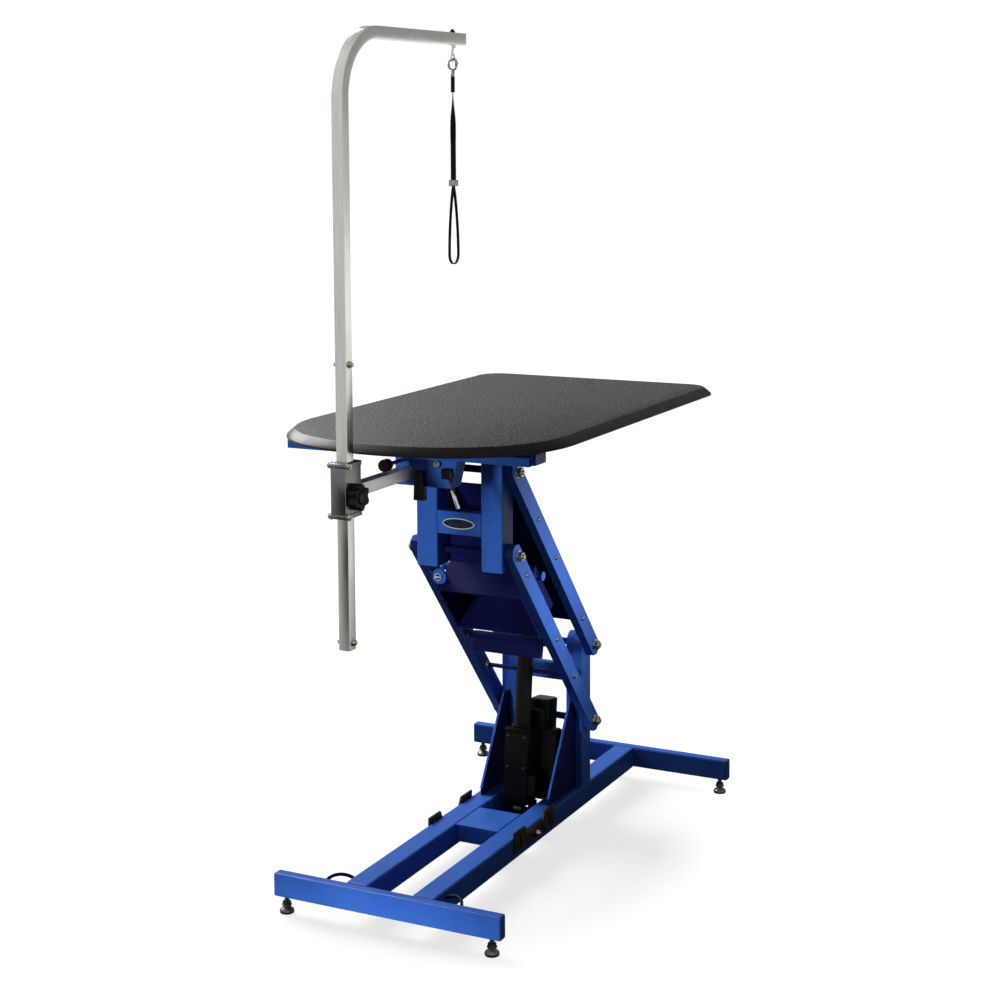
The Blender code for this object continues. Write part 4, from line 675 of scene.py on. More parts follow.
def table_outline(inset):
    """Bowed front, straight sides and two round rear corners, as x and y pairs."""
    points = []
    for k in range(61):
        across = math.cos(math.pi * k / 60)
        ahead = math.sin(math.pi * k / 60)
        points.append((-math.copysign(abs(across) ** (2 / BOW_POWER), across) * (half_width - inset),
                       mat_low[1] + BOW_DEPTH - abs(ahead) ** (2 / BOW_POWER) * (BOW_DEPTH - inset)))
    for middle, start in ((half_width - REAR_CORNER, 0), (-half_width + REAR_CORNER, 90)):
        for k in range(11):
            turn = math.radians(start + 9 * k)
            points.append((middle + (REAR_CORNER - inset) * math.cos(turn),
                           mat_high[1] - REAR_CORNER + (REAR_CORNER - inset) * math.sin(turn)))
    return points


def outline_slab(inset, low, high):
    """A cylinder primitive whose sides are moved onto the table's outline."""
    points = table_outline(inset)
    made = round_bar(half_width, high - low, (0, 0, 0), "Z", len(points))
    for vertex in made.data.vertices:
        x, y = points[vertex.index // 2]
        vertex.co = (x, y, high if vertex.co.z > 0 else low)
    return normals_out(made)


print("outline", len(table_outline(0.0)), "points")

# %% Tabletop with a sloping edge
table = outline_slab(0.0, mat_low[2], mat_low[2] + LIP)
inset_steps(table, "+Z", [
    (0.0010, 0.0018), (0.0075, 0.0066), (0.0080, 0.0064), (0.0012, 0.0008), (0.0016, 0.0005)])
inset_steps(table, "-Z", [(0.0006, 0.0), (0.0200, -0.0010)])
settle(smooth(table, 32), "mat_with_sloping_edge", MAT, "head")
table.data.materials.append(MAT_EDGE)
for face in table.data.polygons:
    face.material_index = 0 if face.normal.z > 0.97 else 1
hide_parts("mat")
under = soften(outline_slab(BOARD_SET_BACK, board_low[2] + 0.0002, board_high[2]), 0.0012)
settle(under, "board_underside", UNDERSIDE, "head")
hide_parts("tabletop_board")
print("tabletop", len(table.data.polygons), "faces, bow", BOW_DEPTH, "m deep")

# %% [markdown]
# The post is one square tube, 25 mm across, bent once with a wide bend. A flat square with rounded corners
# is extruded up, spun a quarter turn for the bend, and extruded again for the arm. Its ends are pushed in,
# so they read as open tube. The map gives metres along the tube, so the polishing lines follow the bend.

# %% Post sizes and map
TUBE = 0.025
BEND = 0.130
CORNER = 0.0018
OPEN_END = [(0.0018, 0.0), (0.0001, -0.03)]
post_low, post_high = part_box("post")
post_x = noose_x
post_y = post_low[1] + TUBE / 2
post_bottom = post_low[2]
arm_z = post_high[2] - TUBE / 2
arm_end = post_high[1]
bend_y = post_y + BEND
bend_z = arm_z - BEND


def along_map(obj, run, across):
    """A map named run: v is metres along the piece, u is metres across the face."""
    layout = obj.data.uv_layers.get("run") or obj.data.uv_layers.new(name="run")
    for face in obj.data.polygons:
        for corner in face.loop_indices:
            place = obj.data.vertices[obj.data.loops[corner].vertex_index].co
            layout.data[corner].uv = (across(place, face.normal), run(place))
    obj.data.uv_layers.active = layout


def post_run(place):
    if place.y >= bend_y:
        return bend_z - post_bottom + BEND * math.pi / 2 + place.y - post_y - BEND
    if place.z < bend_z:
        return place.z - post_bottom
    return bend_z - post_bottom + BEND * math.atan2(place.z - bend_z, bend_y - place.y)


def post_across(place, normal):
    if abs(normal.x) < 0.7:
        return place.x
    if place.z < bend_z:
        return place.y
    if place.y > bend_y:
        return place.z
    return math.hypot(place.z - bend_z, place.y - post_y - BEND)


print("bend starts at", round(bend_z, 4), "and ends at y", round(bend_y, 4))

# %% Post tube
only()
bpy.ops.mesh.primitive_plane_add(size=TUBE, location=(post_x, post_y, post_bottom))
post = fixed(bpy.context.object)
bpy.ops.object.mode_set(mode="EDIT")
bpy.ops.mesh.select_all(action="SELECT")
bpy.ops.mesh.bevel(offset=CORNER, segments=4, affect="VERTICES")
bpy.ops.mesh.select_all(action="SELECT")
bpy.ops.mesh.extrude_region_move(TRANSFORM_OT_translate={"value": (0, 0, bend_z - post_bottom)})
bpy.ops.mesh.spin(steps=24, angle=math.pi / 2, center=(post_x, bend_y, bend_z), axis=(1, 0, 0))
bpy.ops.mesh.extrude_region_move(TRANSFORM_OT_translate={"value": (0, arm_end - post_y - BEND, 0)})
bpy.ops.mesh.select_all(action="SELECT")
bpy.ops.mesh.remove_doubles(threshold=0.00002)
normals_out(post)
inset_steps(post, lambda face: face.normal.z < -0.9 and face.center.z < post_bottom + 0.001, OPEN_END)
inset_steps(post, lambda face: face.normal.y > 0.9 and face.center.y > arm_end - 0.001, OPEN_END)
along_map(post, post_run, post_across)
settle(smooth(post, 30), "post_tube", STAINLESS, "post")
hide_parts("post")
print("post from", round(post_bottom, 3), "to", round(post_high[2], 3))

# %% [markdown]
# Bolts repeat all over the table. A hexagon bolt is modelled in two sizes, with its washer, a chamfered nut
# and the end of the thread, and each place gets a copy of its own. A button screw is a low dome with a
# socket, and an acorn nut is a hexagon closed by a dome.

# %% Bolt and screw models
def hexagon_bolt(across, height, washer, stub):
    """A washer, a hexagon nut and a thread end that stand on z = 0."""
    nut = fixed(round_bar(across / math.sqrt(3), height, (0, 0, washer + height / 2), "Z", 6))
    inset_steps(nut, "+Z", [(across * 0.06, height * 0.10), (across * 0.16, 0.0)])
    ring = soften(fixed(round_bar(across * 0.70, washer, (0, 0, washer / 2), "Z", 28)), washer * 0.3)
    thread = fixed(round_bar(across * 0.27, stub + height, (0, 0, washer + (height + stub) / 2), "Z", 20))
    inset_steps(thread, "+Z", [(across * 0.05, across * 0.04)])
    return join([nut, ring, thread])


def button_screw(radius, height):
    """A low domed head with a socket, standing on z = 0."""
    head = fixed(round_bar(radius, height * 0.4, (0, 0, height * 0.2), "Z", 24))
    inset_steps(head, "+Z", [
        (radius * 0.12, height * 0.28), (radius * 0.20, height * 0.22), (radius * 0.22, height * 0.08),
        (radius * 0.05, -height * 0.5)])
    return smooth(head, 45)


def acorn_nut(across, height):
    """A hexagon nut closed by a dome, standing on z = 0."""
    nut = fixed(round_bar(across / math.sqrt(3), height * 0.5, (0, 0, height * 0.25), "Z", 6))
    only()
    bpy.ops.mesh.primitive_uv_sphere_add(segments=24, ring_count=12, radius=across * 0.42,
                                         location=(0, 0, height * 0.5))
    dome = fixed(bpy.context.object)
    bpy.ops.object.shade_smooth()
    return join([nut, dome])


TURNS = {"+X": ("Y", 90), "-X": ("Y", -90), "-Y": ("X", 90), "-Z": ("X", 180)}


def facing(place, side):
    """A matrix that stands a model made on z = 0 onto a face that looks to a side."""
    axis, degrees = TURNS[side]
    return Matrix.Translation(place) @ Matrix.Rotation(math.radians(degrees), 4, axis)


def place_copies(model, places, name, finish, body):
    """Copies of one model at several places, joined as one piece on a body."""
    made = join([copy_to(model, facing(place, side)) for place, side in places])
    return settle(made, name, finish, body)


pivot_bolt = hexagon_bolt(0.019, 0.009, 0.0022, 0.004)
small_bolt = hexagon_bolt(0.0105, 0.0048, 0.0012, 0.0022)
arm_screw = button_screw(0.0056, 0.0042)
dome_nut = acorn_nut(0.016, 0.013)
print("bolt models", len(pivot_bolt.data.polygons), len(arm_screw.data.polygons), "faces")

# %% [markdown]
# Four shafts hold the arms: two on the mast and two on the head. Between the plates each one is a painted
# spacer tube, in the deeper blue that is painted shade, and outside it ends in a large zinc-plated bolt with
# a washer. The shafts' boxes say where.

# %% Pivot shafts and their bolts
SIDES = (("right", 1, "+X", "-X"), ("left", -1, "-X", "+X"))
SHAFT_RADIUS = 0.0079
arm_inner, arm_outer = (corner[0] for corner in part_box("lower_arm_right"))
for body, shaft_names in (("base", ("mast_shaft_lower", "mast_shaft_upper")),
                          ("head", ("head_shaft_lower", "head_shaft_upper"))):
    for shaft_name in shaft_names:
        middle = Vector(middle_of(shaft_name))
        tube = round_bar(SHAFT_RADIUS, 2 * arm_outer, middle, "X", 32)
        inset_steps(tube, "Z", [(0.001, 0.0)])
        settle(soften(tube, 0.0004), shaft_name + "_spacer", SHADED_BLUE_COAT, body)
        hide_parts(shaft_name)
        bolts = [(Vector((sign * (arm_outer + 0.0002), middle.y, middle.z)), outward)
                 for _, sign, outward, _ in SIDES]
        place_copies(pivot_bolt, bolts, shaft_name + "_bolts", ZINC, body)
print("shafts 4, arm face at", round(arm_outer, 4))

# %% [markdown]
# Small button screws sit along the outer faces of the arms, and dome nuts on the inside. The left lower arm
# also carries a round ear with a bright nut that faces the front. A thin pin for the actuator's rod runs
# across the lower arms. A place on an arm is given by its share of the length from the mast, because the
# arms slant.

# %% Screws, nuts and ear on the arms
EAR_RADIUS = 0.0170
ROD_PIN_SHARE = 0.29
ROD_PIN_RADIUS = 0.0049
NUT_SHARE = 0.498
NUT_LIFT = -0.0053
EAR_SHARE = 0.868
EAR_LIFT = -0.016
EAR_THICKNESS = 0.006
mast_low = Vector(middle_of("mast_shaft_lower"))
mast_up = Vector(middle_of("mast_shaft_upper"))
arm_way = Vector(middle_of("head_shaft_lower")) - mast_low
arm_square = Vector((0, arm_way.z, -arm_way.y)).normalized()
SCREWS = (("upper", mast_up, (0.745, 0.529, 0.166)), ("lower", mast_low, (0.896, 0.518)))


def on_arm(pivot, share, lift, x):
    """A place on an arm's side: a share of its length and a distance square to it, at a given x."""
    place = pivot + arm_way * share + arm_square * lift
    return Vector((x, place.y, place.z))


for side, sign, outward, inward in SIDES:
    outer_x = sign * (arm_outer + 0.0001)
    inner_x = sign * (arm_inner - 0.0002)
    for arm, pivot, shares in SCREWS:
        place_copies(arm_screw, [(on_arm(pivot, share, 0.0, outer_x), outward) for share in shares],
                     arm + "_arm_screws_" + side, ZINC, arm + "_arms")
    place_copies(small_bolt, [(on_arm(mast_low, ROD_PIN_SHARE, 0.0, outer_x), outward)],
                 "rod_pin_bolt_" + side, ZINC, "lower_arms")
    place_copies(dome_nut, [
        (on_arm(mast_low, NUT_SHARE, NUT_LIFT, inner_x), inward),
        (on_arm(mast_low, ROD_PIN_SHARE, 0.0, inner_x), inward),
    ], "lower_arm_nuts_" + side, ZINC, "lower_arms")
ear_place = on_arm(mast_low, EAR_SHARE, EAR_LIFT, -arm_inner + EAR_RADIUS - 0.001)
ear = round_bar(EAR_RADIUS, EAR_THICKNESS, ear_place, "Y", 40)
inset_steps(ear, "Z", [(0.0012, 0.0006)])
settle(soften(ear, 0.0006), "arm_ear", BLUE_COAT, "lower_arms")
ear_front = ear_place + Vector((0, -0.0034, 0))
place_copies(dome_nut, [(ear_front, "-Y")], "arm_ear_nut", CHROME, "lower_arms")
pin_middle = Vector(middle_of("rod_shaft"))
rod_pin = soften(round_bar(ROD_PIN_RADIUS, 2 * arm_outer, pin_middle, "X", 28), 0.0004)
# The rod pin gets the deeper blue, which is painted shade.
settle(rod_pin, "rod_pin", SHADED_BLUE_COAT, "lower_arms")
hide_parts("rod_shaft")
print("ear at", [round(c, 4) for c in ear_place])

# %% [markdown]
# Each levelling foot is a turned steel pad under a threaded stem with a lock nut. The thread is too fine to
# show at its real 1.25 mm pitch, so it is drawn at 2 mm: a disc is extruded again and again and scaled in
# and out.

# %% Levelling feet
PAD_HEIGHT = 0.0045
PAD_MIDDLE = 0.0037
STEM_START = 0.0148
LOCK_START = 0.0165
LOCK_SCALE = 1.45
STEM_RADIUS = 0.0049
STEM_LENGTH = 0.042
THREAD_PITCH = 0.002
THREAD_ROOT = 0.86


def threaded_stem():
    """A stem that stands on z = 0, with rings for its thread."""
    only()
    bpy.ops.mesh.primitive_circle_add(vertices=20, radius=STEM_RADIUS, fill_type="NGON")
    stem = bpy.context.object
    bpy.ops.object.mode_set(mode="EDIT")
    bpy.ops.mesh.select_all(action="SELECT")
    for _ in range(int(STEM_LENGTH / THREAD_PITCH)):
        for scale in (THREAD_ROOT, 1 / THREAD_ROOT):
            bpy.ops.mesh.extrude_region_move(TRANSFORM_OT_translate={"value": (0, 0, THREAD_PITCH / 2)})
            bpy.ops.transform.resize(value=(scale, scale, 1))
    return normals_out(stem)


for foot in ("foot_front_left", "foot_front_right", "foot_rear_left", "foot_rear_right"):
    x, y, _ = middle_of(foot)
    pad = round_bar(size_of(foot)[0] / 2, PAD_HEIGHT, (0, 0, PAD_MIDDLE), "Z", 48)
    inset_steps(pad, "+Z", [
        (0.0008, 0.0012), (0.0022, 0.0022), (0.0030, 0.0018), (0.0022, 0.0022), (0.0008, 0.0014)])
    inset_steps(pad, "-Z", [(0.0010, 0.0014)])
    pad.location += Vector((x, y, 0))
    settle(smooth(pad, 50), foot + "_pad", DULL_ZINC, foot)
    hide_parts(foot)
    stem = threaded_stem()
    stem.data.transform(Matrix.Translation((x, y, STEM_START)))
    lock = copy_to(small_bolt, Matrix.Translation((x, y, LOCK_START)) @ Matrix.Scale(LOCK_SCALE, 4))
    settle(join([stem, lock]), foot + "_stem", DULL_ZINC, foot)
print("feet 4, pads", round(size_of("foot_front_left")[0], 4), "m wide")

# %% [markdown]
# The lobed knob clamps the post. It is moulded plastic with six rounded lobes, a raised rim and a dished
# middle. Insets shape a cylinder's faces, its sides are pushed in by a wave, and a bevel rounds it.

# %% Lobed knob
KNOB_THICKNESS = 0.021
KNOB_GROWTH = 1.10
STUD_RADIUS = 0.0049
STUD_LENGTH = 0.012
LOBES = 6
LOBE_DEPTH = 0.12
LOBE_START = 0.45
knob_low, knob_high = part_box("post_knob")
knob_radius = KNOB_GROWTH * size_of("post_knob")[2] / 2
knob_middle = Vector((knob_high[0] - KNOB_THICKNESS / 2, post_y, middle_of("post_knob")[2]))
knob = round_bar(knob_radius, KNOB_THICKNESS, knob_middle, "X", 96)
inset_steps(knob, "+Z", [
    (0.0012, 0.0), (0.0024, 0.0), (0.0040, -0.0012), (0.0040, -0.0008), (0.0015, 0.0026), (0.0010, 0.0006),
    (0.0030, -0.0012)])
inset_steps(knob, "-Z", [(0.0012, 0.0), (0.0060, 0.0), (0.0040, -0.0020)])
swell(knob, lambda reach, turn: 1 - max(0.0, reach / knob_radius - LOBE_START) / (1 - LOBE_START) * (
    LOBE_DEPTH - LOBE_DEPTH * math.cos(LOBES * turn)))
settle(soften(knob, 0.0010, 3, 50), "lobed_knob", BLACK_PLASTIC, "post_knob")
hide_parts("post_knob")
stud = round_bar(STUD_RADIUS, STUD_LENGTH, (knob_low[0] + STUD_LENGTH / 2, post_y, knob_middle.z), "X", 24)
inset_steps(stud, "Z", [(0.0008, 0.0004)])
settle(stud, "lobed_knob_stud", ZINC, "post_knob")
print("knob radius", round(knob_radius, 4))

# %% [markdown]
# A steel sleeve carries the post, and a short boom carries the sleeve. The sleeve is a block with a square
# hole cut through it by a Boolean, and a raised band with two bolts at each end clamps it to the post.

# %% Sleeve
SLEEVE_WIDTH = 0.034
HOLE_PLAY = 0.0006
HOLE = TUBE + 2 * HOLE_PLAY
BAND = 0.010
BAND_STEP = 0.0014
BAND_BOLT_Y = 0.0068
sleeve_low, sleeve_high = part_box("post_sleeve")
sleeve_y, sleeve_z = middle_of("post_sleeve")[1:]
sleeve_size = [SLEEVE_WIDTH] + size_of("post_sleeve")[1:]


def bored(obj):
    """Cut the post's square hole through a piece."""
    hole = block((HOLE, HOLE, 0.4), (post_x, post_y, sleeve_z))
    apply_modifier(obj, "BOOLEAN", object=hole, operation="DIFFERENCE", solver="EXACT")
    bpy.data.objects.remove(hole)
    return obj


sleeve_parts = [bored(block(sleeve_size, (post_x, sleeve_y, sleeve_z)))]
band_bolts = []
for height in (sleeve_low[2] + BAND / 2, sleeve_high[2] - BAND / 2):
    sleeve_parts.append(bored(block(
        (SLEEVE_WIDTH + 2 * BAND_STEP, sleeve_size[1] + 0.0016, BAND - 0.001), (post_x, sleeve_y, height))))
    for _, sign, outward, _ in SIDES:
        band_x = post_x + sign * (SLEEVE_WIDTH / 2 + BAND_STEP)
        band_bolts.append((Vector((band_x, sleeve_low[1] + BAND_BOLT_Y, height)), outward))
sleeve = soften(join(sleeve_parts), 0.0016, 3)
settle(sleeve, "post_sleeve_tube", SLEEVE_STEEL, "boom")
along_map(sleeve, lambda place: place.z, lambda place, normal: place.y if abs(normal.x) > 0.7 else place.x)
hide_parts("post_sleeve")
place_copies(small_bolt, band_bolts, "sleeve_bolts", ZINC, "boom")
print("sleeve", [round(v, 4) for v in sleeve_size])

# %% Boom
boom = block(size_of("boom"), middle_of("boom"))
inset_steps(boom, "+Y", [(0.0018, 0.0), (0.0001, -0.02)])
settle(soften(boom, 0.0018, 3), "boom_tube", SATIN_STEEL, "boom")
along_map(boom, lambda place: place.y, lambda place, normal: place.z if abs(normal.x) > 0.7 else place.x)
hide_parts("boom")
print("boom", [round(v, 4) for v in size_of("boom")])

# %% [markdown]
# The post has two cross pins that keep it from sliding out of the sleeve. Each is a plated pin with a nut
# and washer at both ends, which stand out at the sides of the post.

# %% Stop pins of the post
PIN_HEIGHTS = (post_bottom + 0.015, 1.1625)
PIN_RADIUS = 0.0036
PIN_LENGTH = TUBE + 0.018
pins = []
for height in PIN_HEIGHTS:
    pins.append(soften(fixed(round_bar(PIN_RADIUS, PIN_LENGTH, (post_x, post_y, height), "X", 24)), 0.0008))
    for _, sign, outward, _ in SIDES:
        pins.append(copy_to(small_bolt, facing(Vector((post_x + sign * TUBE / 2, post_y, height)), outward)))
settle(join(pins), "post_stop_pins", ZINC, "post")
print("pins at", [round(h, 3) for h in PIN_HEIGHTS])

# %% [markdown]
# On the bracket sit three hand parts. A screw with a black knob locks the boom, a lever with a black hub, a
# dark rod and a bright handle clamps it, and a black grip hangs beside it. Each keeps the place of its CAD
# node.

# %% Boom screw
KNOB_DEPTH = 0.020
SCREW_KNOB_RADIUS = 0.0128
SCREW_ROD_RADIUS = 0.0042
FLUTES = 12
FLUTE_START = 0.0120
FLUTE_DEPTH = 0.045
screw_low, screw_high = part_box("boom_screw")
screw_x, _, screw_z = middle_of("boom_screw")
rod_start = screw_low[1] + KNOB_DEPTH
screw_knob = round_bar(
    SCREW_KNOB_RADIUS, KNOB_DEPTH, (screw_x, screw_low[1] + KNOB_DEPTH / 2, screw_z), "Y", 48)
inset_steps(screw_knob, "-Z", [(0.0016, 0.0), (0.0022, -0.0008), (0.0040, 0.0012)])
inset_steps(screw_knob, "+Z", [(0.0016, 0.0), (0.0050, 0.0030)])
swell(screw_knob, lambda reach, turn: 1 if reach <= FLUTE_START else (
    1 - FLUTE_DEPTH * (1 - math.cos(FLUTES * turn))))
settle(soften(screw_knob, 0.0007, 2, 45), "boom_screw_knob", BLACK_PLASTIC, "boom_screw")
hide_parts("boom_screw")
rod_middle = (screw_x, (rod_start + screw_high[1]) / 2, screw_z)
screw_rod = round_bar(SCREW_ROD_RADIUS, screw_high[1] - rod_start, rod_middle, "Y", 28)
inset_steps(screw_rod, "+Z", [(0.0008, 0.0004)])
settle(soften(screw_rod, 0.0003), "boom_screw_rod", CHROME, "boom_screw")
print("boom screw from", round(screw_low[1], 4), "to", round(screw_high[1], 4))

# %% Clamping lever
HUB_SIZE = (0.020, 0.016, 0.022)
SLANT = math.radians(20)
SHAFT_LENGTH = 0.036
LEVER_LENGTH = 0.074
LEVER_ROD_RADIUS = 0.0022
LEVER_ROD_MIDDLE = 0.022
HANDLE_RADIUS = 0.0038
HUB_X, HUB_Z = 0.052, 0.916
BOLT_X, BOLT_Z = 0.028, 0.934
hub_middle = Vector((HUB_X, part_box("clamp_lever")[0][1] + HUB_SIZE[1] / 2, HUB_Z))
hub = block(HUB_SIZE, hub_middle)
inset_steps(hub, "-Y", [(0.0030, 0.0006), (0.0030, -0.0010)])
settle(soften(hub, 0.0026, 4), "clamp_lever_hub", BLACK_PLASTIC, "clamp_lever")
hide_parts("clamp_lever")
shaft = soften(fixed(round_bar(LEVER_ROD_RADIUS, SHAFT_LENGTH, (0, 0, LEVER_ROD_MIDDLE), "Z", 20)), 0.0003)
handle = fixed(round_bar(
    HANDLE_RADIUS, LEVER_LENGTH - SHAFT_LENGTH, (0, 0, (SHAFT_LENGTH + LEVER_LENGTH) / 2), "Z", 28))
inset_steps(handle, "+Z", [(0.0006, 0.0012), (0.0010, 0.0008)])
inset_steps(handle, "-Z", [(0.0008, 0.0020)])
soften(handle, 0.0006)
for piece in (shaft, handle):
    piece.data.transform(Matrix.Translation(hub_middle) @ Matrix.Rotation(math.pi - SLANT, 4, "Y"))
settle(shaft, "clamp_lever_rod", OILED_STEEL, "clamp_lever")
settle(handle, "clamp_lever_handle", CHROME, "clamp_lever")
bolt_place = Vector((BOLT_X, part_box("boom_bracket")[0][1] - 0.0001, BOLT_Z))
place_copies(small_bolt, [(bolt_place, "-Y")], "bracket_bolt", ZINC, "head")
print("lever hub at", [round(c, 3) for c in hub_middle])

# %% Hanging grip
GRIP_SIZE = (0.024, 0.014, 0.060)
GRIP_PIN_RADIUS = 0.0045
GRIP_PIN_X, GRIP_PIN_Z = -0.010, 0.912
grip_low, grip_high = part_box("grip_lever")
grip = block(GRIP_SIZE, (
    middle_of("grip_lever")[0], grip_low[1] + GRIP_SIZE[1] / 2, grip_low[2] + GRIP_SIZE[2] / 2))
pick_faces(grip, "+Z")
bpy.ops.transform.resize(value=(0.86, 0.9, 1))
inset_steps(grip, "-Y", [(0.0035, 0.0), (0.0008, -0.0007)])
settle(soften(grip, 0.0018, 4), "hanging_grip", BLACK_PLASTIC, "grip_lever")
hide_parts("grip_lever")
stub_depth = size_of("grip_lever")[1] - GRIP_SIZE[1]
stub_middle = (GRIP_PIN_X, grip_high[1] - stub_depth / 2, GRIP_PIN_Z)
stub = soften(round_bar(GRIP_PIN_RADIUS, stub_depth, stub_middle, "Y", 24), 0.0004)
settle(stub, "hanging_grip_pin", ZINC, "grip_lever")
print("grip box", [round(v, 4) for v in size_of("grip_lever")])

# %% [markdown]
# An eye bolt hangs under the arm's end, held by a black dome nut on top. A snap hook grips the eye: a ring
# of bent wire with a straight gate, a barrel below it, and a black swivel cup. A ring is a torus. The
# hook's lower half is pulled down, so that it reaches the barrel.

# %% Eye bolt
EYE_OUTER = 0.0095
EYE_GRIP = 0.004
EYE_WIRE = 0.0022
SHANK_RADIUS = 0.0030
eye_centre = Vector((noose_x, noose_y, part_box("eye_bolt")[0][2] + EYE_OUTER))


def wire_ring(centre, outer, thickness, turn, stretch):
    """A torus whose lower half is pulled down by a stretch in metres."""
    only()
    bpy.ops.mesh.primitive_torus_add(
        major_radius=outer - thickness, minor_radius=thickness, major_segments=36, minor_segments=14,
        location=(0, 0, 0), rotation=turn)
    ring = fixed(bpy.context.object)
    for vertex in ring.data.vertices:
        if vertex.co.z < 0:
            vertex.co.z -= stretch * min(1.0, -vertex.co.z / (outer * 0.5))
    bpy.ops.object.shade_smooth()
    ring.data.transform(Matrix.Translation(centre))
    return ring


def on_noose(radius, low, high, sides):
    """A round bar on the noose's line, from one height to another."""
    return fixed(round_bar(radius, high - low, (noose_x, noose_y, (high + low) / 2), "Z", sides))


eye_ring = wire_ring(eye_centre, EYE_OUTER, EYE_WIRE, (0, math.pi / 2, 0), 0.0)
shank = soften(on_noose(SHANK_RADIUS, eye_centre.z + EYE_OUTER - EYE_GRIP, arm_z, 20), 0.0003)
under_nut = copy_to(small_bolt, facing(Vector((noose_x, noose_y, arm_z - TUBE / 2)), "-Z"))
settle(join([eye_ring, shank, under_nut]), "eye_bolt_wire", CHROME, "post")
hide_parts("eye_bolt")
top_nut = copy_to(dome_nut, Matrix.Translation((noose_x, noose_y, arm_z + TUBE / 2)) @ Matrix.Scale(0.62, 4))
settle(top_nut, "eye_bolt_cap", BLACK_PLASTIC, "post")
print("eye at", [round(c, 4) for c in eye_centre])

# %% Snap hook
HOOK_WIRE = 0.0024
HOOK_STRETCH = 0.004
BARREL_RADIUS = 0.0042
GATE_RADIUS = 0.0016
THUMB_RADIUS = 0.0019
THUMB_LENGTH = 0.006
hook_low, hook_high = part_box("snap_hook")
hook_outer = size_of("snap_hook")[0] / 2
hook_centre = Vector((noose_x, noose_y, hook_high[2] - hook_outer))
gate_offset = hook_outer * 0.55
hook_ring = wire_ring(hook_centre, hook_outer, HOOK_WIRE, (math.pi / 2, 0, 0), HOOK_STRETCH)
barrel = on_noose(BARREL_RADIUS, hook_low[2], hook_centre.z - hook_outer - 0.003, 28)
inset_steps(barrel, "+Z", [(0.0006, 0.0010), (0.0010, 0.0006)])
soften(barrel, 0.0004)
gate = fixed(round_bar(GATE_RADIUS, 1.5 * hook_outer, (noose_x, noose_y, hook_centre.z), "Z", 20))
gate.data.transform(Matrix.Translation((gate_offset, 0, 0)))
thumb_middle = (noose_x + gate_offset + THUMB_LENGTH / 2, noose_y, hook_centre.z)
thumb = soften(fixed(round_bar(THUMB_RADIUS, THUMB_LENGTH, thumb_middle, "X", 16)), 0.0005)
settle(join([hook_ring, barrel, gate, thumb]), "snap_hook_wire", NICKEL, "noose")
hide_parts("snap_hook")
print("hook radius", round(hook_outer, 4))

# %% Swivel
cup_radius = size_of("swivel")[0] / 2
cup = round_bar(cup_radius, size_of("swivel")[2], (noose_x, noose_y, middle_of("swivel")[2]), "Z", 40)
for end in ("+Z", "-Z"):
    inset_steps(cup, end, [(0.0008, 0.0), (0.0010, -0.0012)])
swell(cup, lambda reach, turn: 0.9 if reach < cup_radius * 0.7 else 1)
settle(soften(cup, 0.0005, 3), "swivel_cup", BLACK_PLASTIC, "noose")
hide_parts("swivel")
print("swivel radius", round(cup_radius, 4))

# %% [markdown]
# The oval badge on the head's cross bar is a small pressed plate: a bright raised rim round a darker field.
# The field is left bare. One cylinder, stretched to an oval, is inset to raise its rim, and a smaller one
# lies in it.

# %% Oval plate
RIM = 0.0026
oval_middle = Vector(middle_of("oval_plate"))
oval_half = [side / 2 for side in size_of("oval_plate")]


def oval_disc(margin, thickness, centre):
    """A cylinder that faces the front, stretched to the badge's oval less a margin."""
    made = round_bar(oval_half[0] - margin, thickness, centre, "Y", 72)
    for vertex in made.data.vertices:
        vertex.co.y *= (oval_half[2] - margin) / (oval_half[0] - margin)
    return made


oval = oval_disc(0.0, 0.0012, oval_middle)
inset_steps(oval, "-Z", [(0.0004, 0.0005), (0.0016, 0.0), (0.0005, -0.0007)])
settle(smooth(oval, 30), "oval_plate_rim", CHROME, "head")
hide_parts("oval_plate")
field = oval_disc(RIM, 0.0006, oval_middle - Vector((0, 0.0007, 0)))
inset_steps(field, "-Z", [(0.0008, 0.0002)])
settle(field, "oval_plate_field", PLATE_METAL, "head")
print("oval plate", [round(2 * h, 4) for h in oval_half])

# %% [markdown]
# The linear actuator leans a little, from its pivot low on the base to the pin across the lower arms. Its
# pieces are modelled upright round that pivot and tilted together at the end. The housing is a die-cast
# column with a raised band round its sides, a collar for the rod and four cover screws. A block low on the
# column holds the gears. The motor stands behind it, and a bridge and a shoulder join the two. A clevis
# under the column takes the pivot pin.

# %% Actuator column
COLUMN = 0.056
COLUMN_LOW = 0.014
COLUMN_HIGH = 0.190
GEARBOX_SIZE = (0.068, 0.122, 0.046)
GEARBOX_MIDDLE = (0.014, 0.038, 0.062)
CAP_RADIUS = 0.0240
SCREW_X = 0.020
SCREW_SCALE = 0.6
foot_pivot = Vector((0, 0.1165, 0.059))
lean = math.atan2(pin_middle.y - foot_pivot.y, pin_middle.z - foot_pivot.z)
tilt = Matrix.Translation(foot_pivot) @ Matrix.Rotation(-lean, 4, "X")


def settle_tilted(pieces, name, finish):
    """Join the upright pieces, tilt them with the actuator and settle them on its body."""
    made = join([fixed(piece) for piece in pieces])
    made.data.transform(tilt)
    return settle(made, name, finish, "actuator_body")


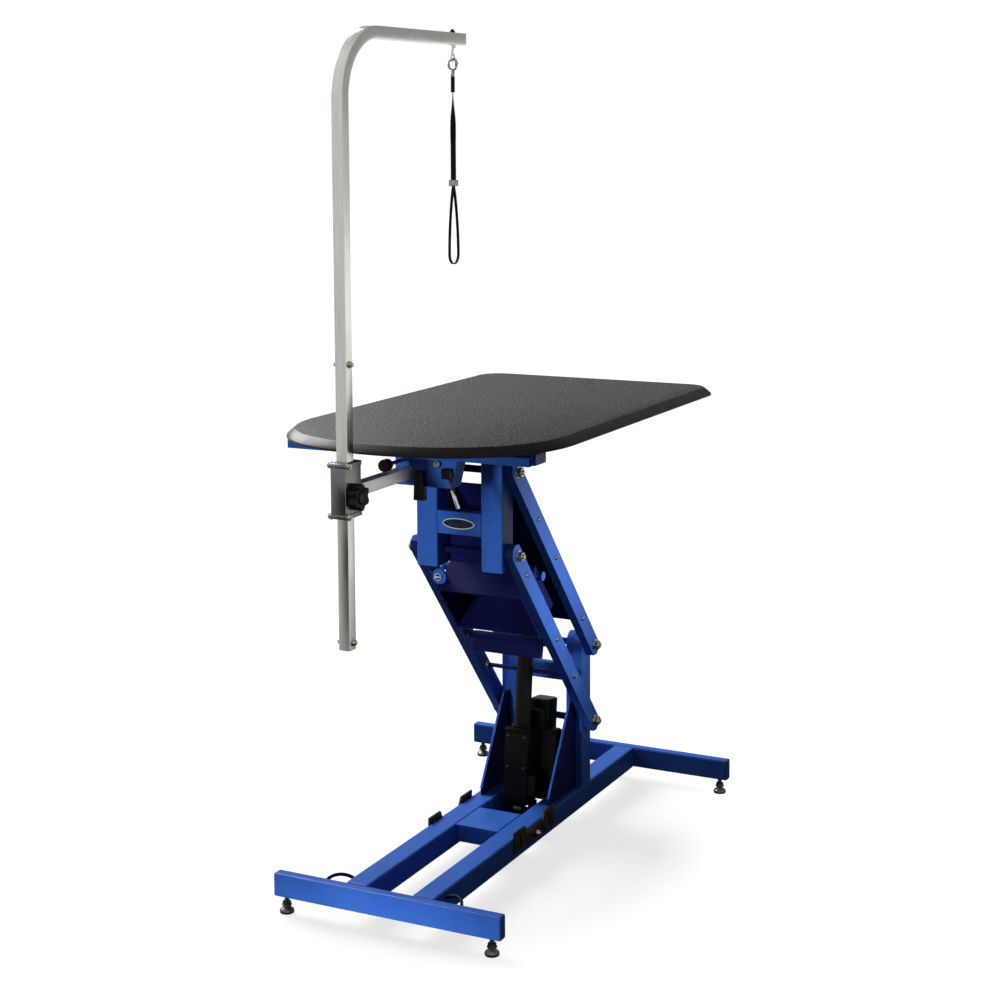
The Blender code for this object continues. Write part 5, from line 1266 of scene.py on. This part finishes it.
column = block((COLUMN, COLUMN, COLUMN_HIGH - COLUMN_LOW), (0, 0, (COLUMN_LOW + COLUMN_HIGH) / 2))
inset_steps(column, lambda face: abs(face.normal.z) < 0.1, [(0.0060, 0.0), (0.0008, 0.0012)])
soften(column, 0.0022, 3)
collar = soften(block((COLUMN + 0.006, COLUMN + 0.006, 0.008), (0, 0, COLUMN_HIGH - 0.006)), 0.0018, 3)
cap_ring = fixed(round_bar(CAP_RADIUS, 0.008, (0, 0, COLUMN_HIGH + 0.002), "Z", 48))
inset_steps(cap_ring, "+Z", [(0.0012, 0.0010), (0.0030, 0.0)])
soften(cap_ring, 0.0005)
gearbox = block(GEARBOX_SIZE, GEARBOX_MIDDLE)
inset_steps(gearbox, "X", [(0.0050, 0.0), (0.0010, -0.0012)])
soften(gearbox, 0.0050, 4)
housing = settle_tilted([column, collar, cap_ring, gearbox], "actuator_column", CASTING)
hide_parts("actuator_housing")
screws = []
for x in (-SCREW_X, SCREW_X):
    for z in (0.100, COLUMN_HIGH - 0.020):
        place = Vector((x, -COLUMN / 2 - 0.0011, z))
        screws.append(copy_to(arm_screw, facing(place, "-Y") @ Matrix.Scale(SCREW_SCALE, 4)))
settle_tilted(screws, "actuator_cover_screws", OILED_STEEL)
print("actuator leans", round(math.degrees(lean), 2), "degrees")

# %% Actuator clevis and motor
MOTOR_WIDTH = 0.050
MOTOR_LENGTH = 0.160
MOTOR_FOOT = 0.0853
MOTOR_X, MOTOR_Y = 0.020, 0.071
CLEVIS_RADIUS = 0.0135
NECK_SIZE = (0.018, 0.020, 0.018)
BRIDGE_SIZE = (0.103, 0.040, 0.160)
BRIDGE_MIDDLE = (0.0205, 0.049, 0.1000)
SHOULDER_SIZE = (0.070, 0.030, 0.060)
SHOULDER_MIDDLE = (0.004, 0.048, 0.196)
clevis = fixed(round_bar(CLEVIS_RADIUS, 0.020, (0, 0, 0), "X", 40))
inset_steps(clevis, "X", [(0.0020, 0.0008), (0.0030, -0.0006)])
neck = fixed(block(NECK_SIZE, (0, 0, NECK_SIZE[2] / 2)))
inset_steps(neck, "Y", [(0.0020, 0.0)])
settle_tilted([soften(join([clevis, neck]), 0.0008)], "actuator_clevis", DULL_ZINC)
motor = fixed(block((MOTOR_WIDTH, MOTOR_WIDTH, MOTOR_LENGTH), (
    MOTOR_X, MOTOR_Y, MOTOR_FOOT + MOTOR_LENGTH / 2)))
pick_faces(motor, "+Z")
bpy.ops.mesh.inset(thickness=0.0022, depth=0.0)
bpy.ops.transform.translate(value=(0, 0, 0.0022))
soften(only(motor), 0.0075, 4, 50)
bridge = fixed(block(BRIDGE_SIZE, BRIDGE_MIDDLE))
inset_steps(bridge, "+Z", [(0.0050, 0.0030)])
soften(bridge, 0.0030, 3)
shoulder = soften(fixed(block(SHOULDER_SIZE, SHOULDER_MIDDLE)), 0.0040, 3)
motor = settle_tilted([motor, bridge, shoulder], "actuator_motor_can", CASTING)
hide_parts("actuator_motor")
print("motor", MOTOR_WIDTH, "m wide and", MOTOR_LENGTH, "m long")

# %% [markdown]
# Two bent rods sit in the corners behind the front bar. A rod starts as a cylinder whose end is extruded
# once for each point of a curved path. Each ring of vertices then moves to its point and turns square to
# the path.

# %% Corner rods
ROD_RADIUS = 0.0035
ROD_STEPS = 18
ROD_RISE = 0.013


def swept_rod(radius, points, sides=16):
    """A round rod: a cylinder with one ring for each point, the rings moved square to the path."""
    last = len(points) - 1
    made = round_bar(radius, 1.0, (0, 0, 0), "Z", sides)
    pick_faces(made, "+Z")
    for _ in range(last - 1):
        bpy.ops.mesh.extrude_region_move(TRANSFORM_OT_translate={"value": (0, 0, 1.0)})
    only(made)
    for vertex in made.data.vertices:
        ring = round(vertex.co.z + 0.5)
        way = (points[min(ring + 1, last)] - points[max(ring - 1, 0)]).normalized()
        vertex.co = points[ring] + way.to_track_quat("Z", "X") @ Vector((vertex.co.x, vertex.co.y, 0))
    return smooth(normals_out(made), 50)


rail_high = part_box("rail_right")[1]
front_rear_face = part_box("front_bar")[1][1]
start = Vector((rail_high[0] + ROD_RADIUS + 0.0002, front_rear_face + 0.046, rail_high[2] - 0.014))
end = Vector((rail_high[0] + 0.056, front_rear_face + ROD_RADIUS, rail_high[2] - 0.020))
for side, sign, _, _ in SIDES:
    path = []
    for k in range(ROD_STEPS + 1):
        share = k / ROD_STEPS
        swing = math.pi / 2 * share
        rise = ROD_RISE * math.sin(math.pi * share) ** 0.7
        path.append(Vector((sign * (start.x + (end.x - start.x) * math.sin(swing)),
                            end.y + (start.y - end.y) * math.cos(swing),
                            start.z + (end.z - start.z) * share + rise)))
    corner_rod = swept_rod(ROD_RADIUS, path)
    # The corner rods get the deeper blue, which is painted shade.
    settle(corner_rod, "corner_rod_" + side, SHADED_BLUE_COAT, "base")
    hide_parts("corner_loop_" + side)
print("corner rods 2, from", [round(c, 4) for c in start], "to", [round(c, 4) for c in end])

# %% [markdown]
# The mast's uprights are folded channels: behind the plate that the arms turn on there is a second plate
# with a rounded top. It is a block whose top is subdivided and raised to an arc. The gussets in front of
# the mast have a folded flange along the sloping edge, which catches the light.

# %% Mast inner plates and gusset flanges
INNER_DEPTH = 0.020
ARC_RISE = 1.12
FLANGE = (0.0056, 0.0024)
upright_low, upright_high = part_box("upright_right")
mast_radius = (upright_high[1] - upright_low[1]) / 2
pivot_top = upright_high[2] - mast_radius
for side, sign, _, _ in SIDES:
    inner = fixed(block((INNER_DEPTH, 2 * mast_radius, pivot_top - upright_low[2]), (
        sign * (upright_low[0] - INNER_DEPTH / 2 - 0.0002), mast_up.y, (pivot_top + upright_low[2]) / 2)))
    pick_faces(inner, "+Z")
    bpy.ops.mesh.subdivide(number_cuts=15)
    only(inner)
    for vertex in inner.data.vertices:
        if vertex.co.z > pivot_top - 0.0001:
            offset = min(1.0, abs(vertex.co.y - mast_up.y) / mast_radius)
            vertex.co.z += ARC_RISE * mast_radius * math.sqrt(1 - offset * offset)
    settle(soften(inner, 0.0015, 2, 50), "mast_inner_" + side, BLUE_COAT, "base")
    gusset_low, gusset_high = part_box("gusset_" + side)
    toe = Vector(((gusset_low[0] + gusset_high[0]) / 2, gusset_low[1], upright_low[2] + 0.016))
    tip = Vector((toe.x, upright_low[1] - 0.028, gusset_high[2]))
    slope = tip - toe
    flange = block((*FLANGE, slope.length), (0, 0, 0))
    inset_steps(flange, "-Y", [(0.0010, 0.0003)])
    soften(flange, 0.0005)
    flange.data.transform(Matrix.Translation((toe + tip) / 2 + Vector((0, -0.0016, 0.0004)))
                          @ Matrix.Rotation(-math.atan2(slope.y, slope.z), 4, "X"))
    settle(flange, "gusset_flange_" + side, BLUE_COAT, "base")
print("mast inner plates and flanges, top at", round(pivot_top + mast_radius, 4))

# %% [markdown]
# A cross tube carries the front of the board. Its left end shows under the lip of the mat. The slotted
# plates on the rails are held by a bolt each. A plate closes the head between its legs, below the cross
# bar.

# %% Front tube under the board, plate bolts and head plate
FRONT_TUBE = (0.554, 0.018, 0.018)
FRONT_TUBE_Y = -0.395
front_tube = block(FRONT_TUBE, (0, FRONT_TUBE_Y, board_low[2] - FRONT_TUBE[2] / 2))
inset_steps(front_tube, "X", OPEN_END)
settle(soften(front_tube, 0.0012), "front_frame_tube", BLUE_COAT, "head")
plate_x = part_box("keyhole_plate_right")[1][0] + 0.0001
plate_y = middle_of("keyhole_plate_right")[1]
place_copies(small_bolt, [
    (Vector((sign * plate_x, plate_y, rail_high[2] - 0.019)), outward) for _, sign, outward, _ in SIDES
], "plate_bolts", ZINC, "base")
leg_low, leg_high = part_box("head_leg_right")
bar_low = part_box("head_bar")[0][2]
head_plate = block((2 * leg_low[0] - 0.001, 0.003, bar_low - leg_low[2] - 0.004), (
    0, leg_high[1] - 0.004, (bar_low + leg_low[2]) / 2 + 0.002))
inset_steps(head_plate, "Y", [(0.0040, 0.0), (0.0006, -0.0006)])
# The head's rear plate gets the deeper blue, which is painted shade.
settle(soften(head_plate, 0.0006), "head_rear_plate", SHADED_BLUE_COAT, "head")
print("front tube", FRONT_TUBE[0], "m long, plate bolts at", round(plate_x, 4))

# %% [markdown]
# The bolt and screw models have been copied to all their places, so the models themselves can go.

# %% Remove the bolt and screw models
for model in (pivot_bolt, small_bolt, arm_screw, dome_nut):
    bpy.data.objects.remove(model)
